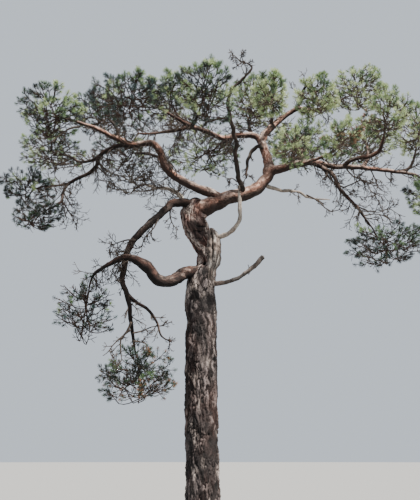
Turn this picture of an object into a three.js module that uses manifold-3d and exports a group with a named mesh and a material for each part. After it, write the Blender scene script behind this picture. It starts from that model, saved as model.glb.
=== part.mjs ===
// An old pine tree with a bare trunk and a wide, flat, wind-shaped crown.
// Millimetres, +Z up. The origin is the middle of the flat cut under the trunk, at ground level.
// Seen from the front, along +Y, the long right limb runs to +X.

import * as THREE from 'three';
import { mergeVertices } from 'three/addons/utils/BufferGeometryUtils.js';
import Module from 'manifold-3d';

const wasm = await Module();
wasm.setup();

// Trunk: girth, root flare and fork
const TRUNK_RADIUS = 232;
const TRUNK_SIDES = 15;
const TRUNK_RINGS = 28;
const FLARE_WIDTH = 105;
const FLARE_HEIGHT = 330;
const ROOT_LOBES = 5;
const ROOT_LOBE_DEPTH = 0.16;
const ROOT_DEPTH = 60;
const BARK_LUMP = 0.05;
const LUMP_LOBES = 3;
const LUMP_TWIST = 210;
const LUMP_PITCH = 160;
const KNOTTED_FROM = 3900;
const KNOTTED_TO = 4600;
const SNAG_RINGS = 6;

// Limbs: how finely they are stepped, and how they swell where they leave their parent
const RING_SPACING = 260;
const THICK_LIMB = 60;
const THICK_SIDES = 8;
const THIN_SIDES = 6;
const COLLAR_SWELL = 0.35;
const COLLAR_LENGTH = 2.2;
const SEAT_GAP = 0.3;
const CUT_GROWTH = 0.4;
const CUT_ROUNDING = 0.02;
const CURVE_DIVISIONS = 400;
const ENTRY_STEP = 0.002;
const ENTRY_SHARE = 0.94;

// Sprays of needles: toothed blades, their length a share of the mass that holds them
const SPRAY_SHARE = 0.85;
const BARE_SHARE = 0.75;
const SPRAY_TEETH = 3;
const SPRAY_SPREAD = THREE.MathUtils.degToRad(120);
const SPRAY_NOTCH = 0.42;
const SPRAY_FALL = 0.25;
const SPRAY_RIDGE = 0.35;
const SPRAY_THICKNESS = 40;

// Where sprays stand in a mass: how deep, how far apart, how steep and how long, each a least share
// and what chance adds to it
const DEPTH = { least: 0.25, chance: 0.6 };
const RISE = { least: 0.25, chance: 0.6 };
const SIZE = { least: 0.75, chance: 0.35 };
const SPRAY_SPACING = 1.03;
const SPACING_LOSS = 0.5;
const SPRAY_TRIES = 900;
const LIMB_CLEARANCE = 30;
const LIMB_SAMPLES = 90;
const NEAR_SHARE = 1.6;
const TWIG_TESTS = [0.2, 0.4, 0.6, 0.8];

// Twigs: three-sided, thicker with the number of sprays that they carry
const TWIG_TIP_RADIUS = 7;
const TWIG_GROWTH = 0.4;
const TWIG_TURNS = [90, 210, 330].map(THREE.MathUtils.degToRad);
const SHOOT_SHARE = 0.55;
const SHOOT_RANGE = [0.08, 0.8];
const SHOOT_TAPER = 0.9;

// The stem of a mass: five-sided, a short way from the limb's end towards the middle
const STEM_SIDES = 5;
const STEM_STEPS = 2;
const STEM_SHARE = 0.3;
const STEM_TAPER = 0.3;
const STEM_TOP = 0.8;
const STEM_TO_TWIG = 0.7;

// Fine faces that are smoothed away, the coarsest first, and the distance at which vertices meet
const SMALL_FACES = [8, 6, 5, 4, 3, 2, 1];
const MERGE_DISTANCE = 0.002;

// Stations of the trunk's middle line and its radius there, as a share of TRUNK_RADIUS
const TRUNK_PATH = [
  { at: [0, 0, -ROOT_DEPTH], girth: 1.0 },
  { at: [0, 0, 1040], girth: 1.0 },
  { at: [-20, 0, 2010], girth: 1.0 },
  { at: [-30, 0, 3100], girth: 1.0 },
  { at: [-40, 0, 3800], girth: 0.99 },
  { at: [-40, 0, 4140], girth: 0.92 },
  { at: [40, 20, 4410], girth: 0.7 },
  { at: [60, 50, 4690], girth: 0.66 },
  { at: [-50, 50, 4900], girth: 0.76 },
  { at: [-110, 50, 5060], girth: 0.84 },
  { at: [-170, 50, 5210], girth: 0.77 },
  { at: [-145, 50, 5380], girth: 0.77 },
  { at: [-100, 45, 5480], girth: 0.68 },
  { at: [-60, 40, 5550], girth: 0.46 },
];

// The dead grey leader that stands against the trunk and is grown into it
const SNAG_PATH = [
  [100, -140, 4160], [120, -130, 4340], [160, -100, 4540], [160, -80, 4740], [150, -60, 4900],
  [120, -50, 5030],
];
const SNAG_RADII = [50, 72, 104, 108, 96, 52];

// Limbs: where each one runs, from inside its parent outwards, and its radii along the way
const LIMBS = [
  {
    name: 'left_limb', parents: ['trunk', 'right_limb'], radii: [70, 64, 54, 40, 24],
    path: [[270, 20, 5550], [150, -20, 5630], [-10, -80, 5690], [-160, -150, 5720], [-390, -250, 5800],
      [-610, -350, 5970], [-690, -450, 6180], [-810, -500, 6310], [-1130, -550, 6250],
      [-1340, -550, 6350], [-1600, -600, 6470]],
  },
  {
    name: 'left_low_limb', parents: ['left_limb'], radii: [36, 34, 30, 26, 22, 16],
    path: [[-1090, -545, 6250], [-1330, -500, 6260], [-1640, -360, 6160], [-1710, -280, 6010],
      [-1850, -220, 5910], [-2020, -200, 5830], [-2160, -200, 5740], [-2210, -280, 5550],
      [-2200, -400, 5350]],
  },
  {
    name: 'left_low_bough', parents: ['left_low_limb'], radii: [22, 16],
    path: [[-2160, -200, 5740], [-2420, -60, 5770]],
  },
  {
    name: 'left_under_bough', parents: ['left_low_limb'], radii: [24, 22, 18],
    path: [[-1640, -360, 6160], [-1810, -220, 6140], [-2040, 20, 6230], [-2230, 240, 6420]],
  },
  {
    name: 'left_top_bough', parents: ['left_limb'], radii: [32, 26, 18],
    path: [[-1330, -550, 6345], [-1370, -400, 6500], [-1420, -180, 6720], [-1600, 60, 7040]],
  },
  {
    name: 'back_left_bough', parents: ['left_limb'], radii: [38, 30, 20],
    path: [[-330, -220, 5775], [-430, -20, 5930], [-620, 350, 6350], [-980, 850, 6790]],
  },
  {
    name: 'right_limb', parents: ['trunk'], radii: [122, 106, 98, 64, 46, 38, 32, 24],
    path: [[-110, 30, 5350], [40, 20, 5430], [180, 10, 5480], [360, 0, 5570], [570, 40, 5660],
      [770, 90, 5730], [900, 100, 5840], [1020, 100, 5990], [1120, 80, 6100], [1340, 0, 6120],
      [1540, -100, 6140], [1770, -200, 6110], [2030, -200, 6060], [2580, -100, 6070],
      [3250, 100, 6080], [3540, 150, 6040]],
  },
  {
    name: 'rising_limb', parents: ['right_limb'], radii: [84, 70, 62, 44, 34, 22],
    path: [[1060, 90, 6020], [1070, 130, 6240], [1040, 160, 6420], [970, 200, 6700], [1190, 350, 7080],
      [1390, 430, 7290], [1640, 400, 7450], [1870, 300, 7340], [2180, 180, 7380]],
  },
  {
    name: 'crown_left_limb', parents: ['rising_limb'], radii: [54, 44, 38, 30, 16],
    path: [[1010, 190, 6640], [850, 200, 6810], [540, 150, 6780], [300, 0, 6660], [70, -200, 6670],
      [-170, -400, 6650], [-470, -850, 6590], [-800, -1250, 6560]],
  },
  {
    name: 'top_left_bough', parents: ['crown_left_limb'], radii: [30, 26, 18],
    path: [[60, -210, 6670], [-200, -230, 6780], [-420, -190, 6960]],
  },
  {
    name: 'front_middle_bough', parents: ['crown_left_limb'], radii: [32, 26, 18],
    path: [[-190, -430, 6640], [-140, -680, 6580], [-80, -950, 6570]],
  },
  {
    name: 'crown_low_bough', parents: ['crown_left_limb'], radii: [31, 31, 26, 18, 10],
    path: [[-130, -370, 6650], [-210, -420, 6630], [-460, -430, 6570], [-720, -460, 6510],
      [-900, -500, 6470], [-1040, -520, 6470]],
  },
  {
    name: 'top_middle_bough', parents: ['crown_left_limb'], radii: [30, 24, 18],
    path: [[830, 200, 6800], [790, 280, 7000], [760, 400, 7300]],
  },
  {
    name: 'centre_back_bough', parents: ['crown_left_limb'], radii: [34, 28, 20],
    path: [[540, 150, 6780], [460, 400, 6860], [330, 800, 6990]],
  },
  {
    name: 'top_right_bough', parents: ['rising_limb'], radii: [26, 22, 18],
    path: [[1620, 405, 7440], [1720, 410, 7620], [1750, 390, 7800], [1820, 340, 7880],
      [1900, 270, 7790]],
  },
  {
    name: 'front_right_bough', parents: ['rising_limb'], radii: [34, 28, 18],
    path: [[1190, 345, 7060], [1150, 100, 7000], [1120, -250, 6930], [1100, -600, 6860]],
  },
  {
    name: 'front_low_bough', parents: ['right_limb'], radii: [34, 28, 20],
    path: [[1340, 0, 6120], [1390, -200, 6100], [1380, -420, 6060]],
  },
  {
    name: 'right_upper_bough', parents: ['right_limb'], radii: [34, 34, 32, 20],
    path: [[2240, -160, 6060], [2340, -300, 6100], [2460, -420, 6090], [2590, -540, 6060],
      [2700, -660, 6090], [2730, -800, 6190]],
  },
  {
    name: 'right_middle_bough', parents: ['right_limb'], radii: [28, 24, 18],
    path: [[1580, -120, 6130], [1750, -400, 6070], [1890, -680, 6020], [1970, -900, 5980]],
  },
  {
    name: 'right_outer_bough', parents: ['right_limb'], radii: [28, 24, 18],
    path: [[3180, 80, 6078], [3420, 190, 6200], [3550, 240, 6440]],
  },
  {
    name: 'back_right_bough', parents: ['right_limb'], radii: [44, 36, 22],
    path: [[1540, -100, 6140], [1620, 200, 6340], [1730, 600, 6670], [1760, 950, 6930]],
  },
  {
    name: 'right_back_bough', parents: ['right_limb'], radii: [38, 30, 20],
    path: [[2560, -100, 6070], [2680, 150, 6260], [2830, 480, 6530], [2920, 780, 6820]],
  },
  {
    name: 'right_drooping_limb', parents: ['right_limb'], radii: [36, 32, 28, 24, 16],
    path: [[1760, -210, 6120], [1900, -250, 6000], [2030, -350, 5830], [2120, -450, 5530],
      [2330, -500, 5230], [2500, -500, 4950]],
  },
  {
    name: 'arching_limb', parents: ['trunk', 'right_limb'], radii: [70, 58, 52, 46],
    path: [[-130, -20, 5430], [-330, -70, 5460], [-500, -170, 5410], [-680, -300, 5170],
      [-890, -420, 4920], [-1080, -460, 4650], [-1170, -475, 4420]],
  },
  {
    name: 'hanging_limb', parents: ['arching_limb'], radii: [42, 38, 32, 22],
    path: [[-1170, -475, 4430], [-1170, -480, 4250], [-1190, -470, 4090], [-1120, -450, 3900],
      [-1080, -370, 3730], [-1070, -280, 3560], [-1040, -100, 3290]],
  },
  {
    name: 'hanging_side_branch', parents: ['hanging_limb'], radii: [26, 24, 18, 9],
    path: [[-1120, -445, 3890], [-970, -350, 3770], [-830, -300, 3690], [-680, -180, 3500],
      [-620, -120, 3320], [-470, -60, 3240]],
  },
  {
    name: 'sagging_limb', parents: ['trunk'], radii: [98, 90, 86, 82, 82, 48, 30, 20],
    path: [[0, 30, 4310], [-250, -140, 4300], [-380, -300, 4180], [-510, -400, 4080],
      [-640, -500, 4090], [-790, -580, 4220], [-970, -660, 4340], [-1150, -700, 4360],
      [-1460, -640, 4220], [-1610, -560, 4110]],
  },
  {
    name: 'twiggy_limb', parents: ['trunk', 'right_limb'], radii: [50, 38, 30, 20],
    path: [[-150, 130, 5390], [-310, 190, 5540], [-440, 290, 5790], [-700, 450, 5960], [-850, 520, 6000]],
  },
  {
    name: 'dead_top', parents: ['right_limb'], radii: [40, 36, 32, 28, 22, 15],
    path: [[650, 50, 5680], [600, -110, 5790], [530, -300, 5970], [490, -400, 6150], [510, -500, 6310],
      [440, -700, 6530], [380, -850, 6760], [420, -900, 6980], [590, -900, 7190], [760, -900, 7420]],
  },
  {
    name: 'hooked_branch', parents: ['rising_limb', 'crown_left_limb'], radii: [32, 30, 26, 12],
    path: [[1040, 165, 6520], [900, 130, 6560], [790, 110, 6460], [710, 60, 6210], [690, 20, 5940]],
  },
  {
    name: 'grey_branch', parents: ['trunk'], radii: [44, 36, 32, 28, 12],
    path: [[60, -40, 4850], [240, -100, 4890], [470, -250, 4960], [560, -310, 5130], [555, -330, 5380],
      [550, -330, 5660]],
  },
  {
    name: 'pale_branch', parents: ['right_limb'], radii: [34, 26, 20, 8],
    path: [[960, 100, 5880], [1120, 180, 5850], [1290, 300, 5850], [1580, 500, 5920], [1800, 700, 5890],
      [2210, 900, 5920]],
  },
  {
    name: 'broken_branch', parents: ['trunk'], radii: [42, 32, 29, 36],
    path: [[60, 0, 4170], [230, -30, 4170], [410, -100, 4170], [680, -200, 4290], [910, -250, 4510]],
  },
];

// Masses of foliage: the limb each one ends, its middle, its reach to each side along X, Y and Z,
// its number of sprays, and the seed of its branching
const MASSES = [
  {
    name: 'needles_left_outer', limb: 'left_limb',
    centre: [-2400, -700, 6740], reach: [500, 580, 410], sprays: 14, seed: 11,
  },
  {
    name: 'needles_left_lowest', limb: 'left_low_limb',
    centre: [-2480, -720, 5010], reach: [430, 380, 210], sprays: 8, seed: 12,
  },
  {
    name: 'needles_left_low', limb: 'left_low_bough',
    centre: [-2930, 200, 5860], reach: [470, 480, 270], sprays: 9, seed: 13,
  },
  {
    name: 'needles_left_under', limb: 'left_under_bough',
    centre: [-2700, 680, 6760], reach: [570, 650, 290], sprays: 12, seed: 14,
  },
  {
    name: 'needles_left_top', limb: 'left_top_bough',
    centre: [-1820, 200, 7270], reach: [500, 580, 320], sprays: 12, seed: 15,
  },
  {
    name: 'needles_back_left', limb: 'back_left_bough',
    centre: [-1590, 1560, 7170], reach: [580, 740, 310], sprays: 13, seed: 16,
  },
  {
    name: 'needles_right_end', limb: 'right_limb',
    centre: [3760, 250, 5800], reach: [440, 520, 320], sprays: 9, seed: 17,
  },
  {
    name: 'needles_right_top', limb: 'rising_limb',
    centre: [2700, 300, 7780], reach: [540, 540, 420], sprays: 13, seed: 18,
  },
  {
    name: 'needles_front_left', limb: 'crown_left_limb',
    centre: [-1060, -1400, 6540], reach: [580, 660, 290], sprays: 14, seed: 19,
  },
  {
    name: 'needles_top_left', limb: 'top_left_bough',
    centre: [-580, -100, 7420], reach: [440, 560, 350], sprays: 11, seed: 20,
  },
  {
    name: 'needles_front_middle', limb: 'front_middle_bough',
    centre: [40, -1550, 6540], reach: [470, 680, 380], sprays: 13, seed: 21,
  },
  {
    name: 'needles_top_middle', limb: 'top_middle_bough',
    centre: [820, 400, 7560], reach: [410, 620, 410], sprays: 13, seed: 22,
  },
  {
    name: 'needles_centre_back', limb: 'centre_back_bough',
    centre: [0, 1450, 7110], reach: [680, 850, 360], sprays: 14, seed: 23,
  },
  {
    name: 'needles_top_right', limb: 'top_right_bough',
    centre: [1850, -300, 7270], reach: [370, 520, 290], sprays: 11, seed: 24,
  },
  {
    name: 'needles_front_right', limb: 'front_right_bough',
    centre: [990, -1200, 6740], reach: [280, 560, 220], sprays: 11, seed: 25,
  },
  {
    name: 'needles_front_low', limb: 'front_low_bough',
    centre: [1350, -980, 6020], reach: [330, 540, 220], sprays: 9, seed: 26,
  },
  {
    name: 'needles_right_upper', limb: 'right_upper_bough',
    centre: [2770, -1000, 6540], reach: [390, 540, 340], sprays: 11, seed: 27,
  },
  {
    name: 'needles_right_middle', limb: 'right_middle_bough',
    centre: [1990, -1260, 5990], reach: [290, 520, 220], sprays: 9, seed: 28,
  },
  {
    name: 'needles_right_outer', limb: 'right_outer_bough',
    centre: [3700, 300, 6980], reach: [500, 620, 430], sprays: 14, seed: 29,
  },
  {
    name: 'needles_back_right', limb: 'back_right_bough',
    centre: [1790, 1500, 7330], reach: [620, 800, 370], sprays: 15, seed: 30,
  },
  {
    name: 'needles_right_back', limb: 'right_back_bough',
    centre: [3060, 1400, 7360], reach: [590, 700, 370], sprays: 13, seed: 31,
  },
  {
    name: 'needles_right_drooping', limb: 'right_drooping_limb',
    centre: [2750, -400, 4670], reach: [620, 600, 350], sprays: 13, seed: 32,
  },
  {
    name: 'needles_low_hanging', limb: 'hanging_limb',
    centre: [-960, 0, 2790], reach: [620, 600, 460], sprays: 13, seed: 33,
  },
  {
    name: 'needles_low_outer', limb: 'sagging_limb',
    centre: [-1720, -400, 3670], reach: [440, 480, 500], sprays: 12, seed: 34,
  },
  {
    name: 'dead_twigs_top', limb: 'dead_top',
    centre: [540, -900, 7570], reach: [270, 260, 150], sprays: 8, seed: 36, bare: true,
  },
  {
    name: 'dead_twigs_left', limb: 'twiggy_limb',
    centre: [-1280, 800, 6270], reach: [600, 500, 290], sprays: 14, seed: 35, bare: true,
  },
];

// Colours of bark, dead wood and needles
const BARK_GREY = { color: 0x5a4c43, roughness: 0.95, metalness: 0 };
const BARK_RED = { color: 0x9a5d3c, roughness: 0.9, metalness: 0 };
const DEAD_GREY = { color: 0x8d8880, roughness: 0.85, metalness: 0 };
const DEAD_DARK = { color: 0x4a423b, roughness: 0.9, metalness: 0 };
const NEEDLE_GREEN = { color: 0x66803a, roughness: 0.7, metalness: 0 };
const NEEDLE_DARK = { color: 0x3f5a38, roughness: 0.7, metalness: 0 };
const DEAD_LIMBS = ['grey_branch', 'pale_branch', 'twiggy_limb'];
const DARK_LIMBS = ['dead_top', 'hooked_branch', 'broken_branch'];
const DARK_MASSES = [
  'needles_low_hanging', 'needles_low_outer', 'needles_left_lowest', 'needles_right_drooping',
];

const vector = (p) => new THREE.Vector3(...p);

// A closed solid from a geometry whose seams coincide, with its faces turned outwards
function solidFrom(geometry) {
  geometry.deleteAttribute('normal');
  geometry.deleteAttribute('uv');
  const merged = mergeVertices(geometry, MERGE_DISTANCE / 2);
  const kept = [];
  const index = merged.index.array;
  for (let k = 0; k < index.length; k += 3) {
    const [a, b, c] = [index[k], index[k + 1], index[k + 2]];
    if (a !== b && b !== c && c !== a) kept.push([a, b, c]);
  }
  const solidOf = (faces) => new wasm.Manifold(new wasm.Mesh({
    numProp: 3,
    vertProperties: new Float32Array(merged.attributes.position.array),
    triVerts: new Uint32Array(faces.flat()),
  }));
  const solid = solidOf(kept);
  return solid.volume() > 0 ? solid : solidOf(kept.map(([a, b, c]) => [a, c, b]));
}

// The largest body of a solid, with loose scraps dropped and sealed hollows filled
function largestBody(solid) {
  let best = null;
  for (const body of solid.decompose()) {
    if (best === null || body.volume() > best.volume()) best = body;
  }
  return best;
}

// Whether every edge of a solid's mesh still joins two faces once its close vertices are merged
function isSound(solid) {
  const { vertProperties, triVerts } = solid.getMesh();
  const numbers = new Map();
  const rounded = (value) => Math.round(value / MERGE_DISTANCE);
  const vertex = (k) => {
    const place = [0, 1, 2].map((axis) => rounded(vertProperties[3 * k + axis])).join();
    if (!numbers.has(place)) numbers.set(place, numbers.size);
    return numbers.get(place);
  };
  const edges = new Map();
  for (let k = 0; k < triVerts.length; k += 3) {
    const corners = [0, 1, 2].map((turn) => vertex(triVerts[k + turn]));
    if (new Set(corners).size < 3) return false;
    for (let turn = 0; turn < 3; turn += 1) {
      const edge = [corners[turn], corners[(turn + 1) % 3]].sort().join();
      edges.set(edge, (edges.get(edge) ?? 0) + 1);
    }
  }
  return [...edges.values()].every((count) => count === 2);
}

// Pieces fused to one body, with as few small faces as leave it sound, or null where none is
function fuse(pieces) {
  const joined = wasm.Manifold.union(pieces).asOriginal();
  for (const size of SMALL_FACES) {
    const body = largestBody(joined.simplify(size));
    if (isSound(body)) return body;
  }
  return null;
}

function geometryFrom(solid) {
  const { vertProperties, triVerts } = solid.getMesh();
  const geometry = new THREE.BufferGeometry();
  geometry.setAttribute('position', new THREE.BufferAttribute(vertProperties, 3));
  geometry.setIndex(new THREE.BufferAttribute(triVerts, 1));
  geometry.computeVertexNormals();
  return geometry;
}

// Rings along a curve between two shares of its length, turned with it and never twisted
function ringsAlong(curve, start, end, steps) {
  const rings = [];
  const lying = Math.abs(curve.getTangentAt(start).x) > 0.8;
  let side = lying ? new THREE.Vector3(0, 1, 0) : new THREE.Vector3(1, 0, 0);
  for (let i = 0; i <= steps; i += 1) {
    const share = i / steps;
    const u = THREE.MathUtils.lerp(start, end, share);
    const along = curve.getTangentAt(u);
    side = side.clone().addScaledVector(along, -side.dot(along)).normalize();
    const other = new THREE.Vector3().crossVectors(side, along);
    rings.push({ share, middle: curve.getPointAt(u), side, other });
  }
  return rings;
}

// A closed tube with flat ends along a curve, its radius given by share of length and angle.
// Growth widens and lengthens it by that much all round.
function tube(curve, start, end, steps, sides, radiusAt, growth = 0) {
  const rings = ringsAlong(curve, start, end, steps);
  rings[0].middle.addScaledVector(curve.getTangentAt(start), -growth);
  rings[steps].middle.addScaledVector(curve.getTangentAt(end), growth);
  const profile = [new THREE.Vector2(0, 0)];
  for (let i = 0; i <= steps; i += 1) profile.push(new THREE.Vector2(1, i));
  profile.push(new THREE.Vector2(0, steps));
  const geometry = new THREE.LatheGeometry(profile, sides);
  const place = geometry.attributes.position;
  for (let k = 0; k < place.count; k += 1) {
    const [x, y, z] = [place.getX(k), place.getY(k), place.getZ(k)];
    const ring = rings[Math.round(y)];
    const radius = radiusAt(ring.share, Math.atan2(z, x), ring.middle.z) + growth;
    const point = ring.middle.clone();
    point.addScaledVector(ring.side, x * radius);
    point.addScaledVector(ring.other, z * radius);
    place.setXYZ(k, point.x, point.y, point.z);
  }
  return solidFrom(geometry);
}

// A value between the numbers of a list that are spread evenly over a share from 0 to 1
function spread(list, share) {
  const position = THREE.MathUtils.clamp(share, 0, 1) * (list.length - 1);
  const index = Math.min(Math.floor(position), list.length - 2);
  return THREE.MathUtils.lerp(list[index], list[index + 1], position - index);
}

// Whether a point lies in the space of a mass, scaled by a share
function insideMass(mass, point, share = 1) {
  const dx = (point.x - mass.centre[0]) / mass.reach[0];
  const dy = (point.y - mass.centre[1]) / mass.reach[1];
  const dz = (point.z - mass.centre[2]) / mass.reach[2];
  return dx * dx + dy * dy + dz * dz <= share * share;
}

// A limb's curve runs on into the mass that it carries, and the limb itself ends at its edge
function routeLimb(limb) {
  const mass = MASSES.find((each) => each.limb === limb.name);
  const points = limb.path.map(vector);
  if (mass) points.push(vector(mass.centre));
  const curve = new THREE.CatmullRomCurve3(points, false, 'centripetal');
  curve.arcLengthDivisions = CURVE_DIVISIONS;
  let end = 1;
  if (mass) {
    end = 0;
    while (end < 1 && !insideMass(mass, curve.getPointAt(end), ENTRY_SHARE)) end += ENTRY_STEP;
  }
  return { ...limb, mass, curve, end, length: curve.getLength() };
}

// A limb's radius along its length: its taper, and a collar where it leaves its parent
function limbRadius(limb, share) {
  const run = share * limb.end * limb.length;
  const collar = 1 + COLLAR_SWELL * Math.exp(-run / (COLLAR_LENGTH * limb.radii[0]));
  return spread(limb.radii, share) * collar;
}

function limbSolid(limb, growth) {
  const steps = Math.max(3, Math.round(limb.length * limb.end / RING_SPACING));
  const sides = limb.radii[0] > THICK_LIMB ? THICK_SIDES : THIN_SIDES;
  return tube(limb.curve, 0, limb.end, steps, sides, (share) => limbRadius(limb, share), growth);
}

// The trunk's radius: girth at its station, root flare with lobes, and lumps in the bark
function trunkRadius(share, angle, height) {
  const girth = spread(TRUNK_PATH.map((station) => station.girth), trunkShare(height));
  const rooting = Math.exp(-Math.max(height, 0) / FLARE_HEIGHT);
  const lobes = ROOT_LOBE_DEPTH * Math.cos(ROOT_LOBES * angle) * rooting;
  const turn = LUMP_LOBES * angle + height / LUMP_TWIST;
  const lump = BARK_LUMP * Math.sin(turn) * Math.sin(height / LUMP_PITCH);
  const knotted = THREE.MathUtils.smoothstep(height, KNOTTED_FROM, KNOTTED_TO);
  return (TRUNK_RADIUS * girth + FLARE_WIDTH * rooting) * (1 + lobes + lump * knotted);
}

// Share of the trunk's stations that a height comes to
function trunkShare(height) {
  const last = TRUNK_PATH.length - 1;
  for (let k = 0; k < last; k += 1) {
    const [low, high] = [TRUNK_PATH[k].at[2], TRUNK_PATH[k + 1].at[2]];
    if (height <= high) return (k + (height - low) / (high - low)) / last;
  }
  return 1;
}

function trunkSolid(growth) {
  const curve = new THREE.CatmullRomCurve3(TRUNK_PATH.map((station) => vector(station.at)));
  const trunk = tube(curve, 0, 1, TRUNK_RINGS, TRUNK_SIDES, trunkRadius, growth);
  const snagCurve = new THREE.CatmullRomCurve3(SNAG_PATH.map(vector));
  const snagRadius = (share) => spread(SNAG_RADII, share);
  const snag = tube(snagCurve, 0, 1, SNAG_RINGS, THICK_SIDES, snagRadius, growth);
  return largestBody(trunk.add(snag)).trimByPlane([0, 0, 1], 0);
}

// Random numbers from 0 to 1 that a seed always gives again
function seeded(seed) {
  let state = seed * 7919 + 17;
  return () => {
    state = (state * 16807) % 2147483647;
    return state / 2147483647;
  };
}

function randomDirection(random) {
  const z = 2 * random() - 1;
  const angle = 2 * Math.PI * random();
  const flat = Math.sqrt(1 - z * z);
  return new THREE.Vector3(flat * Math.cos(angle), flat * Math.sin(angle), z);
}

// The teeth of one spray: a fan round its root, in the plane of its two directions
function sprayTeeth(spray) {
  const points = [];
  const last = 2 * SPRAY_TEETH - 2;
  for (let k = 0; k <= last; k += 1) {
    const angle = SPRAY_SPREAD * (k / last - 0.5);
    const reach = spray.length * (k % 2 === 0 ? 1 - SPRAY_FALL * Math.abs(angle) : SPRAY_NOTCH);
    const point = spray.root.clone();
    point.addScaledVector(spray.along, reach * Math.cos(angle));
    point.addScaledVector(spray.across, reach * Math.sin(angle));
    points.push(point);
  }
  return points;
}

// The three corners of a twig at a point, one of them on the side that it is turned to
function twigCorners(point, along, facing, radius) {
  const up = facing.clone().addScaledVector(along, -facing.dot(along)).normalize();
  const side = new THREE.Vector3().crossVectors(up, along);
  return TWIG_TURNS.map((turn) => {
    const corner = point.clone().addScaledVector(side, radius * Math.cos(turn));
    return corner.addScaledVector(up, radius * Math.sin(turn));
  });
}

// A three-sided twig that opens into a toothed blade, or runs out in a point where it is bare
function twigSolid(from, fromRadius, spray, bare) {
  const facing = new THREE.Vector3().crossVectors(spray.along, spray.across);
  const first = spray.root.clone().sub(from).normalize();
  const bend = first.clone().add(spray.along).normalize();
  const points = twigCorners(from, first, facing, fromRadius);
  points.push(...twigCorners(spray.root, bend, facing, TWIG_TIP_RADIUS));
  const index = [0, 2, 1];
  for (let k = 0; k < 3; k += 1) {
    const next = (k + 1) % 3;
    index.push(k, next, next + 3, k, next + 3, k + 3);
  }
  if (bare) {
    points.push(spray.root.clone().addScaledVector(spray.along, spray.length));
    for (let k = 0; k < 3; k += 1) index.push(k + 3, (k + 1) % 3 + 3, 6);
  } else {
    const middle = spray.root.clone().addScaledVector(spray.along, spray.length * SPRAY_RIDGE);
    points.push(middle.clone().addScaledVector(facing, SPRAY_THICKNESS / 2));
    points.push(middle.clone().addScaledVector(facing, -SPRAY_THICKNESS / 2));
    const teeth = sprayTeeth(spray);
    points.push(...teeth);
    const rim = [4, ...teeth.map((tooth, k) => 8 + k), 5];
    for (let k = 0; k < rim.length - 1; k += 1) {
      index.push(rim[k], rim[k + 1], 6);
      index.push(rim[k + 1], rim[k], 7);
    }
    index.push(3, 4, 6, 5, 3, 6, 4, 5, 7);
  }
  const geometry = new THREE.BufferGeometry().setFromPoints(points);
  geometry.setIndex(index);
  return solidFrom(geometry);
}

// Samples of every limb that come near a mass: points of its middle line with its radius there
function limbsNear(mass, limbs) {
  const near = [];
  for (const limb of limbs) {
    for (let k = 0; k <= LIMB_SAMPLES; k += 1) {
      const share = k / LIMB_SAMPLES;
      const point = limb.curve.getPointAt(share * limb.end);
      if (insideMass(mass, point, NEAR_SHARE)) near.push({ point, radius: limbRadius(limb, share) });
    }
  }
  return near;
}

function clearOfLimbs(near, point) {
  return near.every((each) => each.point.distanceTo(point) > each.radius + LIMB_CLEARANCE);
}

// Sprays scattered through the space of a mass: kept apart, wholly inside it and clear of limbs
function placeSprays(mass, stemEnd, near) {
  const random = seeded(mass.seed);
  const centre = vector(mass.centre);
  const reach = vector(mass.reach);
  const share = mass.bare ? BARE_SHARE : SPRAY_SHARE;
  const length = share * Math.cbrt(reach.x * reach.y * reach.z);
  const sprays = [];
  for (let k = 0; k < SPRAY_TRIES && sprays.length < mass.sprays; k += 1) {
    const way = randomDirection(random);
    const depth = DEPTH.least + DEPTH.chance * Math.cbrt(random());
    const root = centre.clone().add(way.clone().multiply(reach).multiplyScalar(depth));
    const rise = RISE.least + RISE.chance * random();
    const along = new THREE.Vector3(way.x * reach.x, way.y * reach.y, rise * reach.z).normalize();
    const across = randomDirection(random);
    across.addScaledVector(along, -across.dot(along)).normalize();
    const size = length * (SIZE.least + SIZE.chance * random());
    const apart = length * SPRAY_SPACING * (1 - SPACING_LOSS * k / SPRAY_TRIES);
    const middle = root.clone();
    root.addScaledVector(along, -size / 2);
    const spray = { root, middle, along, across, length: size };
    const rim = [root, ...sprayTeeth(spray)];
    const inside = rim.every((point) => insideMass(mass, point));
    const clear = rim.every((point) => clearOfLimbs(near, point));
    const free = sprays.every((each) => each.middle.distanceTo(middle) > apart);
    const reached = TWIG_TESTS.every((part) => clearOfLimbs(near, stemEnd.clone().lerp(root, part)));
    if (inside && clear && free && reached) sprays.push(spray);
  }
  return sprays;
}

function twigRadius(count) {
  return TWIG_TIP_RADIUS * count ** TWIG_GROWTH;
}

// Twigs: a leader runs to the furthest spray, and side shoots leave it towards the rest, which
// share themselves out by the side of the leader on which they lie
function branch(from, fromRadius, sprays, bare, pieces) {
  let leader = sprays[0];
  for (const spray of sprays) {
    if (spray.root.distanceTo(from) > leader.root.distanceTo(from)) leader = spray;
  }
  pieces.push(twigSolid(from, fromRadius, leader, bare));
  const rest = sprays.filter((spray) => spray !== leader);
  if (rest.length === 0) return;
  const run = leader.root.clone().sub(from);
  const passed = (point) => point.clone().sub(from).dot(run) / run.lengthSq();
  const middle = new THREE.Vector3();
  for (const spray of rest) middle.addScaledVector(spray.root, 1 / rest.length);
  const offset = middle.clone().sub(from).addScaledVector(run, -passed(middle));
  const onSide = rest.filter((spray) => spray.root.clone().sub(middle).dot(offset) > 0);
  const offSide = rest.filter((spray) => !onSide.includes(spray));
  for (const group of [onSide, offSide].filter((each) => each.length > 0)) {
    let along = 0;
    for (const spray of group) along += passed(spray.root) / group.length;
    const share = THREE.MathUtils.clamp(along * SHOOT_SHARE, ...SHOOT_RANGE);
    const start = from.clone().addScaledVector(run, share);
    const leaderRadius = THREE.MathUtils.lerp(fromRadius, TWIG_TIP_RADIUS, share);
    const radius = Math.min(leaderRadius * SHOOT_TAPER, twigRadius(group.length));
    branch(start, radius, group, bare, pieces);
  }
}

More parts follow.
